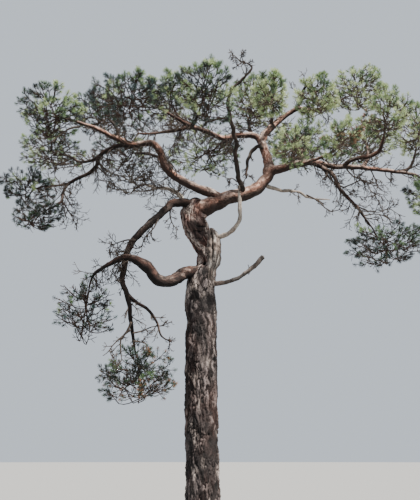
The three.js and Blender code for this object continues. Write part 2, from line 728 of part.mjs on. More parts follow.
// A mass: its stem runs on from the limb's end, a hair clear of it, and branches to its sprays
function massSolid(limb, limbs) {
  const { mass, curve } = limb;
  const start = limb.end + SEAT_GAP / limb.length;
  const end = THREE.MathUtils.lerp(start, 1, STEM_SHARE);
  const tipRadius = limbRadius(limb, 1);
  const stemRadius = (share) => tipRadius * (1 - STEM_TAPER * share);
  const stem = tube(curve, start, end, STEM_STEPS, STEM_SIDES, stemRadius);
  const stemEnd = curve.getPointAt(THREE.MathUtils.lerp(start, end, STEM_TOP));
  const sprays = placeSprays(mass, stemEnd, limbsNear(mass, limbs));
  for (let count = sprays.length; count > 0; count -= 1) {
    const pieces = [stem];
    const rootRadius = Math.min(tipRadius * STEM_TO_TWIG, twigRadius(count));
    branch(stemEnd, rootRadius, sprays.slice(0, count), mass.bare, pieces);
    const body = fuse(pieces);
    if (body !== null) return body;
  }
  throw new Error(`${mass.name} has no sound mesh`);
}

function addMesh(group, name, solid, finish, centre = [0, 0, 0]) {
  const shifted = solid.translate(centre.map((value) => -value));
  const mesh = new THREE.Mesh(geometryFrom(shifted), new THREE.MeshStandardMaterial(finish));
  mesh.name = name;
  mesh.position.set(...centre);
  group.add(mesh);
}

function limbFinish(name) {
  if (DEAD_LIMBS.includes(name)) return DEAD_GREY;
  if (DARK_LIMBS.includes(name)) return DEAD_DARK;
  return BARK_RED;
}

function massFinish(mass) {
  if (mass.bare) return DEAD_GREY;
  return DARK_MASSES.includes(mass.name) ? NEEDLE_DARK : NEEDLE_GREEN;
}

const wood = new THREE.Group();
const foliage = new THREE.Group();
const tree = new THREE.Group();
tree.add(wood, foliage);

const limbs = LIMBS.map(routeLimb);
addMesh(wood, 'trunk', trunkSolid(0), BARK_GREY);
for (const limb of limbs) {
  let body = limbSolid(limb, 0);
  for (const name of limb.parents) {
    const parent = limbs.find((each) => each.name === name);
    body = body.subtract(parent ? limbSolid(parent, CUT_GROWTH) : trunkSolid(CUT_GROWTH));
  }
  addMesh(wood, limb.name, largestBody(body.simplify(CUT_ROUNDING)), limbFinish(limb.name));
}
for (const limb of limbs.filter((each) => each.mass)) {
  addMesh(foliage, limb.mass.name, massSolid(limb, limbs), massFinish(limb.mass), limb.mass.centre);
}

export default tree;
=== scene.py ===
import itertools
import math
import bpy
import numpy as np
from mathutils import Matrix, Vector


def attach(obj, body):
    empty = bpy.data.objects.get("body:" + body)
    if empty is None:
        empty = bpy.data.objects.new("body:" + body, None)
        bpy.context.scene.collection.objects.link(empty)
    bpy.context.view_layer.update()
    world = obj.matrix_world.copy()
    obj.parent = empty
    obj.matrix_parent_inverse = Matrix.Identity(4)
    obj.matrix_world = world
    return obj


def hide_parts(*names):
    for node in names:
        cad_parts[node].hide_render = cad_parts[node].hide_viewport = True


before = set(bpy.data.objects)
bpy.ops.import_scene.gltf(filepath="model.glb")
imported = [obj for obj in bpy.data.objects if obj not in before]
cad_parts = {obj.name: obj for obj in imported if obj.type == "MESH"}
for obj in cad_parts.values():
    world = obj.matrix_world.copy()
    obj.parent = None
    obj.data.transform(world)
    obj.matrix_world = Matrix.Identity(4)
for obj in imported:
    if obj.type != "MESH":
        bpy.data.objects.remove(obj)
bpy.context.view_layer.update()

# An old pine with a bare, fissured trunk and a wide, flat crown. Metres, +Z up. The camera looks
# along +Y, so the long right limb runs to +X. The origin is the flat cut under the trunk.

picture = dict(width=420, height=500, focal=640, sensor=36.0, farEnd=500.0, pitch=18.0,
               place=(0.10, -9.55, 1.60))


def stand(name, data):
    # a new object in the scene, at the origin
    made = bpy.data.objects.new(name, data)
    bpy.context.scene.collection.objects.link(made)
    return made


def makeCamera(look):
    # lens = focal length in pixels, times the sensor's long side over the picture's long side
    data = bpy.data.cameras.new("camera")
    data.sensor_width = look["sensor"]
    data.lens = look["sensor"] * look["focal"] / max(look["width"], look["height"])
    data.clip_end = look["farEnd"]
    camera = stand("camera", data)
    camera.location = look["place"]
    camera.rotation_euler = (math.radians(90 + look["pitch"]), 0, 0)
    bpy.context.scene.camera = camera


studio = dict(
    floorReach=260.0, floorSides=64, floorColour=(0.34, 0.34, 0.335), floorSheen=(0.9, 0.1),
    air=(0.80, 0.88, 0.98), airStrength=0.84,
    sunStrength=10.5, sunSpread=2.5, sunWay=(-0.46, 0.42, -0.78), sunColour=(1.0, 0.94, 0.84),
)


def tone(red, green, blue):
    # screen colour from 0 to 255 to the renderer's straight scale: a power of 2.4, and a line near black
    share = np.array((red, green, blue)) / 255.0
    straight = np.where(share <= 0.04045, share / 12.92, ((share + 0.055) / 1.055) ** 2.4)
    return (*straight.tolist(), 1.0)


def circle(count):
    # even turns round a circle, from 0 to less than a whole one
    return np.linspace(0, 2 * math.pi, count, endpoint=False)


def plainFinish(name, colour, roughness, specular):
    # one even colour, with how rough and how shiny it is
    finish = bpy.data.materials.new(name)
    finish.use_nodes = True
    shader = finish.node_tree.nodes["Principled BSDF"]
    shader.inputs["Base Color"].default_value = colour
    shader.inputs["Roughness"].default_value = roughness
    shader.inputs["Specular IOR Level"].default_value = specular
    finish.diffuse_color = colour
    return finish


def makeStudio(look):
    # a round pale floor far wider than the view, one soft sun and an even pale sky
    reach = look["floorReach"]
    rim = [(reach * math.cos(turn), reach * math.sin(turn), 0.0) for turn in circle(look["floorSides"])]
    mesh = bpy.data.meshes.new("floor")
    mesh.from_pydata(rim, [], [tuple(range(len(rim)))])
    mesh.materials.append(plainFinish("floor_paint", (*look["floorColour"], 1), *look["floorSheen"]))
    stand("floor", mesh)
    sun = bpy.data.lights.new("sun", "SUN")
    sun.energy = look["sunStrength"]
    sun.angle = math.radians(look["sunSpread"])
    sun.color = look["sunColour"]
    stand("sun", sun).rotation_euler = Vector(look["sunWay"]).to_track_quat("-Z", "Y").to_euler()
    world = bpy.data.worlds.new("air")
    world.use_nodes = True
    background = world.node_tree.nodes["Background"]
    background.inputs["Color"].default_value = (*look["air"], 1)
    background.inputs["Strength"].default_value = look["airStrength"]
    bpy.context.scene.world = world


makeCamera(picture)
makeStudio(studio)
print("camera and studio stand")


def unit(way):
    # each direction over its own length
    return way / np.maximum(np.linalg.norm(way, axis=-1, keepdims=True), 1e-9)


def turnTo(low, high, value):
    # smooth step: 0 below low, 1 above high, and an S between them
    share = np.clip((value - low) / (high - low), 0, 1)
    return share * share * (3 - 2 * share)


def spread(values, share):
    # straight lines between values that stand evenly from share 0 to share 1
    return np.interp(share, np.linspace(0, 1, len(values)), values)


class Course:
    # A line through points. On each stretch it is a cubic whose end slopes come from the points
    # round it, weighed by the square roots of their distances. Shares count along its length.

    def __init__(self, points, divisions=400):
        given = np.array(points, float)
        full = np.vstack([2 * given[0] - given[1], given, 2 * given[-1] - given[-2]])
        gap = np.linalg.norm(np.diff(full, axis=0), axis=1)[:, None] ** 0.5
        before, here, after = gap[:-2], gap[1:-1], gap[2:]
        p, a, b, q = full[:-3], full[1:-2], full[2:-1], full[3:]
        leave = ((a - p) / before - (b - p) / (before + here) + (b - a) / here) * here
        reach = ((b - a) / here - (q - a) / (here + after) + (q - b) / after) * here
        self.terms = (a, leave, 3 * (b - a) - 2 * leave - reach, 2 * (a - b) + leave + reach)
        self.stretches = len(given) - 1
        self.marks = np.linspace(0, 1, divisions + 1)
        steps = np.linalg.norm(np.diff(self.raw(self.marks), axis=0), axis=1)
        self.runs = np.append(0, np.cumsum(steps))
        self.length = self.runs[-1]

    def raw(self, mark):
        # the cubic of the stretch that a mark is on. Marks run from 0 to 1 and share it out by stretch
        place = np.clip(mark, 0, 1) * self.stretches
        stretch = np.minimum(np.asarray(place).astype(int), self.stretches - 1)
        w = np.asarray(place - stretch)[..., None]
        a, b, c, d = (term[stretch] for term in self.terms)
        return a + w * (b + w * (c + w * d))

    def mark(self, share):
        # from a share of the length to a mark, between the runs that short steps have measured
        return np.interp(np.asarray(share) * self.length, self.runs, self.marks)

    def at(self, share):
        # the points at shares of the length
        return self.raw(self.mark(share))

    def heading(self, share):
        # the slopes there, each from two points close by
        mark = self.mark(share)
        return unit(self.raw(mark + 1e-4) - self.raw(mark - 1e-4))


cellScatter = dict(key=(12.9898, 78.233, 37.719), steps=(1.0, 1.3, 1.7), stretch=43758.5453)


def plates(points, seed):
    # cells round one scattered point in each unit cube: the gap between the two nearest points,
    # 0 on a cell's rim, and a number of its own for each cell. A point is the fraction of a large sine
    home = np.floor(points)
    near = np.full(len(points), 9.0)
    second = near.copy()
    number = np.zeros(len(points))
    for shift in itertools.product((-1, 0, 1), repeat=3):
        cell = home + shift
        key = cell @ np.array(cellScatter["key"]) + seed
        large = np.sin(key[:, None] * cellScatter["steps"]) * cellScatter["stretch"]
        jitter = large - np.floor(large)
        distance = np.linalg.norm(cell + jitter - points, axis=1)
        closer = distance < near
        second = np.where(closer, near, np.minimum(second, distance))
        number = np.where(closer, jitter[:, 0], number)
        near = np.where(closer, distance, near)
    return second - near, number


def ripples(points, width, seed, squash=1, count=16, scatter=2.2, height=1.1):
    # a sum of plane waves of scattered directions and phases, mostly between -1 and 1. They are
    # about a width apart, and drawn out along Z where squash is under 1
    chance = np.random.default_rng(seed)
    ways = chance.normal(size=(count, 3)) * scatter
    phases = chance.uniform(0, 2 * math.pi, count)
    place = points * (1, 1, squash) / width
    return np.sin(place @ ways.T + phases).sum(axis=1) / math.sqrt(count) * height


def barkCells(flat, sway, look, seed):
    # plates of a size whose borders sway. Each has a level top and a sloping rim, and its own tint
    gap, tint = plates((flat + sway * look["sway"]) / look["size"], seed)
    return turnTo(*look["rim"], gap), tint


def raised(plate, tint, look):
    # how far the plates stand out. Cracks lie under the mean surface, and lighter plates stand higher
    return look["depth"] * (plate - look["level"] + look["vary"] * (tint - 0.5))


def outwards(side, other, angle):
    # the way out from the middle line at each angle of each ring
    sides = len(angle) // len(side)
    across = np.repeat(side, sides, axis=0) * np.cos(angle)[:, None]
    return across + np.repeat(other, sides, axis=0) * np.sin(angle)[:, None]


def unrolled(angle, radius, run):
    # the same surface on a straight round bar, for patterns that bends don't squeeze
    return np.stack([np.cos(angle) * radius, np.sin(angle) * radius, run], axis=1)


def sideways(way):
    # two directions square to each way and to each other
    level = np.where(np.abs(way[:, 2:]) > 0.9, (1.0, 0, 0), (0, 0, 1.0))
    side = unit(np.cross(way, level))
    return side, np.cross(way, side)


def ringFaces(rings, sides):
    # four-cornered faces between neighbouring rings and fans to a pole at either end
    ring, side = np.meshgrid(np.arange(rings - 1), np.arange(sides), indexing="ij")
    a = (ring * sides + side).ravel()
    b = (ring * sides + (side + 1) % sides).ravel()
    quads = np.stack([a, b, b + sides, a + sides], axis=1)
    first = np.arange(sides)
    after = (first + 1) % sides
    last = (rings - 1) * sides
    low = np.stack([after, first, np.full(sides, rings * sides)], axis=1)
    high = np.stack([last + first, last + after, np.full(sides, rings * sides + 1)], axis=1)
    return quads, np.vstack([low, high])


def repeated(faces, copies, stride):
    # the same faces for each of many like pieces whose points follow each other
    return (faces[None] + (np.arange(copies) * stride)[:, None, None]).reshape(-1, faces.shape[1])


def addPiece(name, points, faceSets, replaced, finishes, picks=None, marks=None, smooth=True):
    # one mesh object at the origin. The volume that its faces enclose, a sum of corner products,
    # tells whether they point outwards. The poles, the last points, have middling marks
    faceSets = [faces for faces in faceSets if len(faces)]
    volume = 0.0
    for faces in faceSets:
        for k in range(1, faces.shape[1] - 1):
            a, b, c = points[faces[:, 0]], points[faces[:, k]], points[faces[:, k + 1]]
            volume += np.einsum("ij,ij->", a, np.cross(b, c))
    if volume < 0:
        faceSets = [faces[:, ::-1] for faces in faceSets]
    mesh = bpy.data.meshes.new(name)
    corners = np.concatenate([faces.ravel() for faces in faceSets]).astype(np.int32)
    sizes = np.concatenate([np.full(len(faces), faces.shape[1]) for faces in faceSets])
    starts = np.append(0, np.cumsum(sizes)[:-1]).astype(np.int32)
    mesh.vertices.add(len(points))
    mesh.vertices.foreach_set("co", points.astype(np.float32).ravel())
    mesh.loops.add(len(corners))
    mesh.loops.foreach_set("vertex_index", corners)
    mesh.polygons.add(len(sizes))
    mesh.polygons.foreach_set("loop_start", starts)
    mesh.polygons.foreach_set("use_smooth", np.full(len(sizes), smooth))
    for finish in finishes:
        mesh.materials.append(finish)
    if picks is not None:
        mesh.polygons.foreach_set("material_index", picks.astype(np.int32))
    for label, values in (marks or {}).items():
        layer = mesh.attributes.new(label, "FLOAT", "POINT")
        padded = np.append(values, np.full(len(points) - len(values), 0.5))
        layer.data.foreach_set("value", padded.astype(np.float32))
    mesh.update(calc_edges=True)
    piece = stand(name, mesh)
    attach(piece, "root")
    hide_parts(*replaced)


# What all barks share: how their noises, ramps, roughness and bump are set
barkRule = dict(
    grainDetail=6, patchDetail=3, patchStops=((0.42, 0.0), (0.62, 0.75)), paleStops=(0.3, 0.7),
    shadeStops=((0.25, 0.45), (0.75, 1.25)), shadeShare=0.8, crackStops=((0.0, 1.0), (0.45, 0.0)),
    roughness=(0.72, 0.98), specular=0.25, bumpDepth=0.006,
)


def barkFinish(name, look):
    # the colour goes by the mesh's own marks. tint runs along the grey and the red ramp and warm mixes
    # the two, patches of the second colour lie on them, then weathered wood where pale is, then light
    # and dark grain, and the crack colour where plate is near 0. On limbs, tint and pale also carry painted
    # light and shade, and plate carries painted shade on the lower side
    finish = bpy.data.materials.new(name)
    finish.use_nodes = True
    tree = finish.node_tree
    shader = tree.nodes["Principled BSDF"]

    def node(kind, **settings):
        # a node of a kind, with its own settings
        made = tree.nodes.new(kind)
        for key, value in settings.items():
            setattr(made, key, value)
        return made

    def mark(label):
        # the mesh's own mark of that name
        return node("ShaderNodeAttribute", attribute_name=label).outputs["Fac"]

    def ramp(source, stops):
        # colours between stops, by a source from 0 to 1
        made = node("ShaderNodeValToRGB")
        tree.links.new(source, made.inputs["Fac"])
        band = made.color_ramp
        while len(band.elements) < len(stops):
            band.elements.new(0.5)
        for element, (place, colour) in zip(band.elements, stops):
            element.position = place
            element.color = colour
        return made.outputs["Color"]

    def toned(places, colours):
        # stops of screen colours
        return [(place, tone(*colour)) for place, colour in zip(places, colours)]

    def greys(stops):
        # stops of plain levels
        return [(place, (level, level, level, 1)) for place, level in stops]

    def mix(share, low, high, blend="MIX"):
        # from low to high by a share, each a value or another node's output
        made = node("ShaderNodeMix", data_type="RGBA", blend_type=blend)
        for socket, value in ((made.inputs[0], share), (made.inputs[6], low), (made.inputs[7], high)):
            if isinstance(value, (float, tuple)):
                socket.default_value = value
            else:
                tree.links.new(value, socket)
        return made.outputs[2]

    def noise(scale, detail, stretch=1):
        # soft noise by place, drawn out along Z where stretch is under 1
        place = node("ShaderNodeTexCoord").outputs["Object"]
        turned = node("ShaderNodeMapping")
        turned.inputs["Scale"].default_value = (1, 1, stretch)
        tree.links.new(place, turned.inputs["Vector"])
        made = node("ShaderNodeTexNoise")
        made.inputs["Scale"].default_value = scale
        made.inputs["Detail"].default_value = detail
        tree.links.new(turned.outputs["Vector"], made.inputs["Vector"])
        return made.outputs["Fac"]

    grain = noise(look["grain"], barkRule["grainDetail"], look["stretch"])
    patch = noise(look["patch"], barkRule["patchDetail"])
    places = look.get("places", (0.0, 0.5, 1.0))
    grey = ramp(mark("tint"), toned(places, look["grey"]))
    red = ramp(mark("tint"), toned(places, look["red"]))
    colour = mix(mark("warm"), grey, red)
    colour = mix(ramp(patch, greys(barkRule["patchStops"])), colour, tone(*look["second"]))
    colour = mix(mark("pale"), colour, ramp(grain, toned(barkRule["paleStops"], look["pale"])))
    colour = mix(barkRule["shadeShare"], colour, ramp(grain, greys(barkRule["shadeStops"])), "MULTIPLY")
    colour = mix(ramp(mark("plate"), greys(barkRule["crackStops"])), colour, tone(*look["crack"]))
    tree.links.new(colour, shader.inputs["Base Color"])
    rough = node("ShaderNodeMapRange")
    for label, value in zip(("To Min", "To Max"), barkRule["roughness"]):
        rough.inputs[label].default_value = value
    tree.links.new(grain, rough.inputs["Value"])
    tree.links.new(rough.outputs["Result"], shader.inputs["Roughness"])
    shader.inputs["Specular IOR Level"].default_value = barkRule["specular"]
    bump = node("ShaderNodeBump")
    bump.inputs["Strength"].default_value = look["bump"]
    bump.inputs["Distance"].default_value = barkRule["bumpDepth"]
    tree.links.new(grain, bump.inputs["Height"])
    tree.links.new(bump.outputs["Normal"], shader.inputs["Normal"])
    return finish


# Screen colours: three each for grey and for red bark, from dark to light, and two for pale wood, which
# on limbs is also their painted highlight
trunkBark = barkFinish("trunk_bark", dict(
    grain=30, patch=3.2, stretch=0.16, bump=0.9, crack=(9, 8, 8), second=(34, 32, 33),
    grey=((10, 9, 10), (24, 22, 23), (128, 122, 122)), red=((52, 32, 27), (98, 64, 54), (158, 116, 102)),
    pale=((114, 105, 101), (188, 174, 167)),
))
limbBark = barkFinish("limb_bark", dict(
    grain=34, patch=7.5, stretch=1, bump=0.7, crack=(30, 22, 20), second=(96, 76, 69),
    grey=((38, 31, 30), (96, 81, 75), (186, 164, 154)), red=((56, 37, 32), (140, 99, 85), (228, 188, 170)),
    pale=((142, 120, 111), (230, 208, 196)), places=(0.0, 0.45, 0.9),
))
brownBark = barkFinish("brown_bark", dict(
    grain=34, patch=7.5, stretch=1, bump=0.6, crack=(12, 9, 9), second=(38, 30, 28),
    grey=((20, 17, 16), (42, 35, 33), (96, 82, 76)), red=((28, 19, 17), (60, 40, 35), (120, 88, 77)),
    pale=((84, 71, 66), (158, 138, 129)),
))
shadeBark = barkFinish("shade_bark", dict(
    grain=34, patch=6.0, stretch=1, bump=0.6, crack=(14, 11, 10), second=(44, 38, 36),
    grey=((26, 23, 22), (42, 36, 34), (72, 62, 58)), red=((34, 24, 21), (54, 38, 33), (88, 65, 56)),
    pale=((60, 52, 49), (104, 92, 86)),
))
greyWood = barkFinish("grey_wood", dict(
    grain=40, patch=6.0, stretch=0.2, bump=0.6, crack=(56, 50, 46), second=(142, 132, 124),
    grey=((104, 97, 90), (138, 131, 124), (182, 174, 166)),
    red=((112, 101, 94), (147, 136, 127), (190, 180, 171)), pale=((140, 138, 128), (202, 198, 190)),
))
leaderWood = barkFinish("leader_wood", dict(
    grain=34, patch=7.0, stretch=0.12, bump=0.9, crack=(22, 19, 18), second=(62, 57, 54),
    grey=((50, 47, 46), (92, 87, 84), (152, 144, 138)), pale=((126, 120, 115), (204, 195, 187)),
    red=((76, 65, 60), (122, 108, 101), (178, 162, 153)),
))
darkWood = barkFinish("dark_wood", dict(
    grain=36, patch=6.0, stretch=0.3, bump=0.7, crack=(12, 10, 10), second=(46, 40, 37),
    grey=((26, 23, 22), (42, 37, 35), (72, 64, 59)), red=((36, 27, 23), (56, 42, 36), (84, 65, 56)),
    pale=((66, 60, 55), (112, 104, 96)),
))
print("bark and dead wood mixed")

# The trunk: middle line, girth, relief and where its bark reddens and weathers. Ripples are given as
# width, seed and squash, ranges as start and end, and spots as middle, reach and height
trunkForm = dict(
    path=((0, 0, -0.06), (0, 0, 1.04), (-0.02, 0, 2.01), (-0.03, 0, 3.1), (-0.04, 0, 3.8),
          (-0.04, 0, 4.14), (0.04, 0.02, 4.41), (0.06, 0.05, 4.69), (-0.05, 0.05, 4.9),
          (-0.11, 0.05, 5.06), (-0.17, 0.05, 5.21), (-0.145, 0.05, 5.38), (-0.1, 0.045, 5.48),
          (-0.06, 0.04, 5.55)),
    girth=(1, 1, 1, 1, 0.99, 0.92, 0.7, 0.66, 0.76, 0.84, 0.77, 0.77, 0.68, 0.46),
    radius=0.232, flareWidth=0.105, flareHeight=0.33, rootLobes=5, rootLobeDepth=0.16,
    rings=585, sides=168, buried=0.06, cap=0.03,
    sway=((0.13, 5), (0.13, 6), (0.2, 7)), oldBark=(2.9, 4.3), knotted=(4.25, 4.6),
    plate=dict(size=(0.040, 0.040, 0.46), sway=0.022, seed=3.1, rim=(0.02, 0.26), depth=0.024,
               level=0.75, vary=0.35),
    split=dict(size=(0.021, 0.021, 0.30), sway=0.016, seed=5.9, rim=(0.0, 0.3), tintShare=0.4),
    flake=dict(size=(0.030, 0.030, 0.085), sway=0.010, seed=8.7, rim=(0.0, 0.18), depth=0.009,
               level=0.6, vary=0.6),
    deepness=dict(least=0.35, more=0.65, ripple=(0.10, 31, 0.5), range=(-0.9, 0.7)),
    splitting=dict(least=0.15, more=0.55, ripple=(0.08, 32, 0.5), range=(-0.5, 1.0)),
    lump=0.010, lumps=(0.12, 11), grit=0.003, grits=(0.022, 12), gnarl=0.014, gnarls=(0.075, 13, 0.45),
    twist=0.05, twistLobes=3, twistRise=0.21, twistRun=0.16,
    holes=(((0.0, -0.11, 4.47), (0.060, 0.07, 0.060), 0.075),
           ((-0.10, -0.12, 4.98), (0.10, 0.05, 0.018), 0.030),
           ((-0.06, -0.12, 4.86), (0.09, 0.05, 0.014), 0.022),
           ((-0.04, -0.13, 5.06), (0.12, 0.06, 0.022), 0.035)),
    burls=(((-0.28, -0.12, 5.33), 0.10, 0.025), ((0.02, -0.14, 5.26), 0.08, 0.035),
           ((0.03, -0.12, 4.97), 0.07, 0.035), ((-0.22, -0.12, 5.10), 0.09, 0.02)),
    holeShade=(0.25, 0.8), flakeLeast=0.35,
    flush=dict(least=0, more=1, ripple=(0.22, 21, 0.4), range=(-0.2, 1.0)),
    neck=(4.3, 4.6), head=(4.95, 5.2), redness=dict(base=0.03, flush=0.12, headLoss=0.3, byTint=0.1),
    paleness=dict(ripple=(0.16, 22, 0.5), head=0.75, most=0.8, range=(0.5, 1.4), plates=(0.5, 1.0)),
    collar=dict(height=4.02, width=0.15, most=0.9),
    shoulders=(((0.10, -0.12, 5.02), 0.12, 1.6), ((-0.22, -0.14, 5.36), 0.12, 1.6)),
)


def nearness(points, centre, reach):
    # a bell that is 1 at the centre and about a third at its reach
    return np.exp(-((points - centre) ** 2).sum(axis=1) / reach ** 2)


def patchy(flat, look):
    # from its least to its most in soft patches
    return look["least"] + look["more"] * turnTo(*look["range"], ripples(flat, *look["ripple"]))


def trunkSurface(form, shares, turns):
    # rings round the middle line. Radius = girth at that height + a flare that dies away upwards,
    # times root lobes, plus bark plates, lumps, burls and the hollow where a limb was lost
    course = Course(form["path"])
    middle = course.at(shares)
    along = course.heading(shares)
    side = unit(np.array((1.0, 0, 0)) - along * along[:, :1])
    height = np.repeat(middle[:, 2], len(turns))
    angle = np.tile(turns, len(shares))
    girth = np.interp(height, np.array(form["path"])[:, 2], form["girth"])
    rooting = np.exp(-np.maximum(height, 0) / form["flareHeight"])
    smooth = form["radius"] * girth + form["flareWidth"] * rooting
    smooth = smooth * (1 + form["rootLobeDepth"] * np.cos(form["rootLobes"] * angle) * rooting)
    flat = unrolled(angle, form["radius"], height)
    sway = np.stack([ripples(flat, *look) for look in form["sway"]], axis=1)
    old = 1 - turnTo(*form["oldBark"], height)
    (plateCell, plateTint), (splitCell, splitTint), (flake, flakeTint) = (
        barkCells(flat, sway, form[label], form[label]["seed"]) for label in ("plate", "split", "flake"))
    cracks = patchy(flat, form["deepness"]) * (1 - plateCell)
    splits = patchy(flat, form["splitting"]) * (1 - splitCell)
    oldPlate = 1 - np.maximum(cracks, splits)
    splitShare = form["split"]["tintShare"]
    oldTint = (1 - splitShare) * plateTint + splitShare * splitTint
    relief = raised(oldPlate, oldTint, form["plate"]) * old
    relief += raised(flake, flakeTint, form["flake"]) * (1 - 0.5 * old)
    relief += form["lump"] * ripples(flat, *form["lumps"]) + form["grit"] * ripples(flat, *form["grits"])
    twist = np.sin(form["twistLobes"] * angle + height / form["twistRise"])
    twist = twist * np.sin(height / form["twistRun"])
    gnarled = form["twist"] * smooth * twist + form["gnarl"] * ripples(flat, *form["gnarls"])
    relief += turnTo(*form["knotted"], height) * gnarled
    across = outwards(side, np.cross(side, along), angle)
    points = np.repeat(middle, len(turns), axis=0) + across * (smooth + relief)[:, None]
    dark = np.zeros(len(points))
    for centre, reach, depth in form["holes"]:
        well = np.exp(-(((points - centre) / reach) ** 2).sum(axis=1))
        points -= across * (depth * well)[:, None]
        dark = np.maximum(dark, well)
    for centre, reach, rise in form["burls"]:
        points += across * (rise * nearness(points, centre, reach))[:, None]
    plate = np.where(old > 0.5, oldPlate, np.maximum(flake, form["flakeLeast"]))
    # painted shade: the hollows take the dark crack colour
    plate = plate * (1 - turnTo(*form["holeShade"], dark))
    tint = oldTint * old + flakeTint * (1 - old)
    head = turnTo(*form["head"], height)
    marks = dict(plate=plate, tint=tint, warm=trunkWarmth(form, flat, height, old, head, tint),
                 pale=trunkPaleness(form, flat, points, height, head, plate))
    return points, middle, marks


def trunkWarmth(form, flat, height, old, head, tint):
    # red bark begins at the neck, in patches, and is a little greyer on the head
    look = form["redness"]
    flush = patchy(flat, form["flush"])
    red = (1 - look["headLoss"] * head) * turnTo(*form["neck"], height) * (0.5 + 0.5 * flush)
    return np.clip(look["base"] + look["flush"] * flush * old + red + look["byTint"] * tint, 0, 1)


def trunkPaleness(form, flat, points, height, head, plate):
    # weathered in patches, and more so on the head, on its shoulders and at the collar under the neck
    look, collar = form["paleness"], form["collar"]
    weathered = ripples(flat, *look["ripple"]) + look["head"] * head
    weathered += collar["most"] * np.exp(-((height - collar["height"]) / collar["width"]) ** 2)
    for centre, reach, rise in form["shoulders"]:
        weathered += rise * nearness(points, centre, reach)
    return look["most"] * turnTo(*look["range"], weathered) * turnTo(*look["plates"], plate)


def makeTrunk(form):
    # the lowest ring is pressed flat on the ground, and a pole closes each end
    shares = np.linspace(form["buried"] / Course(form["path"]).length, 1, form["rings"])
    points, middle, marks = trunkSurface(form, shares, circle(form["sides"]))
    points[: form["sides"], 2] = 0.0
    points[:, 2] = np.maximum(points[:, 2], 0.0)
    points = np.vstack([points, (*middle[0][:2], 0.0), middle[-1] + (0, 0, form["cap"])])
    faceSets = ringFaces(form["rings"], form["sides"])
    addPiece("bark_trunk", points, faceSets, ["trunk"], [trunkBark], marks=marks)


makeTrunk(trunkForm)
print("trunk stands")

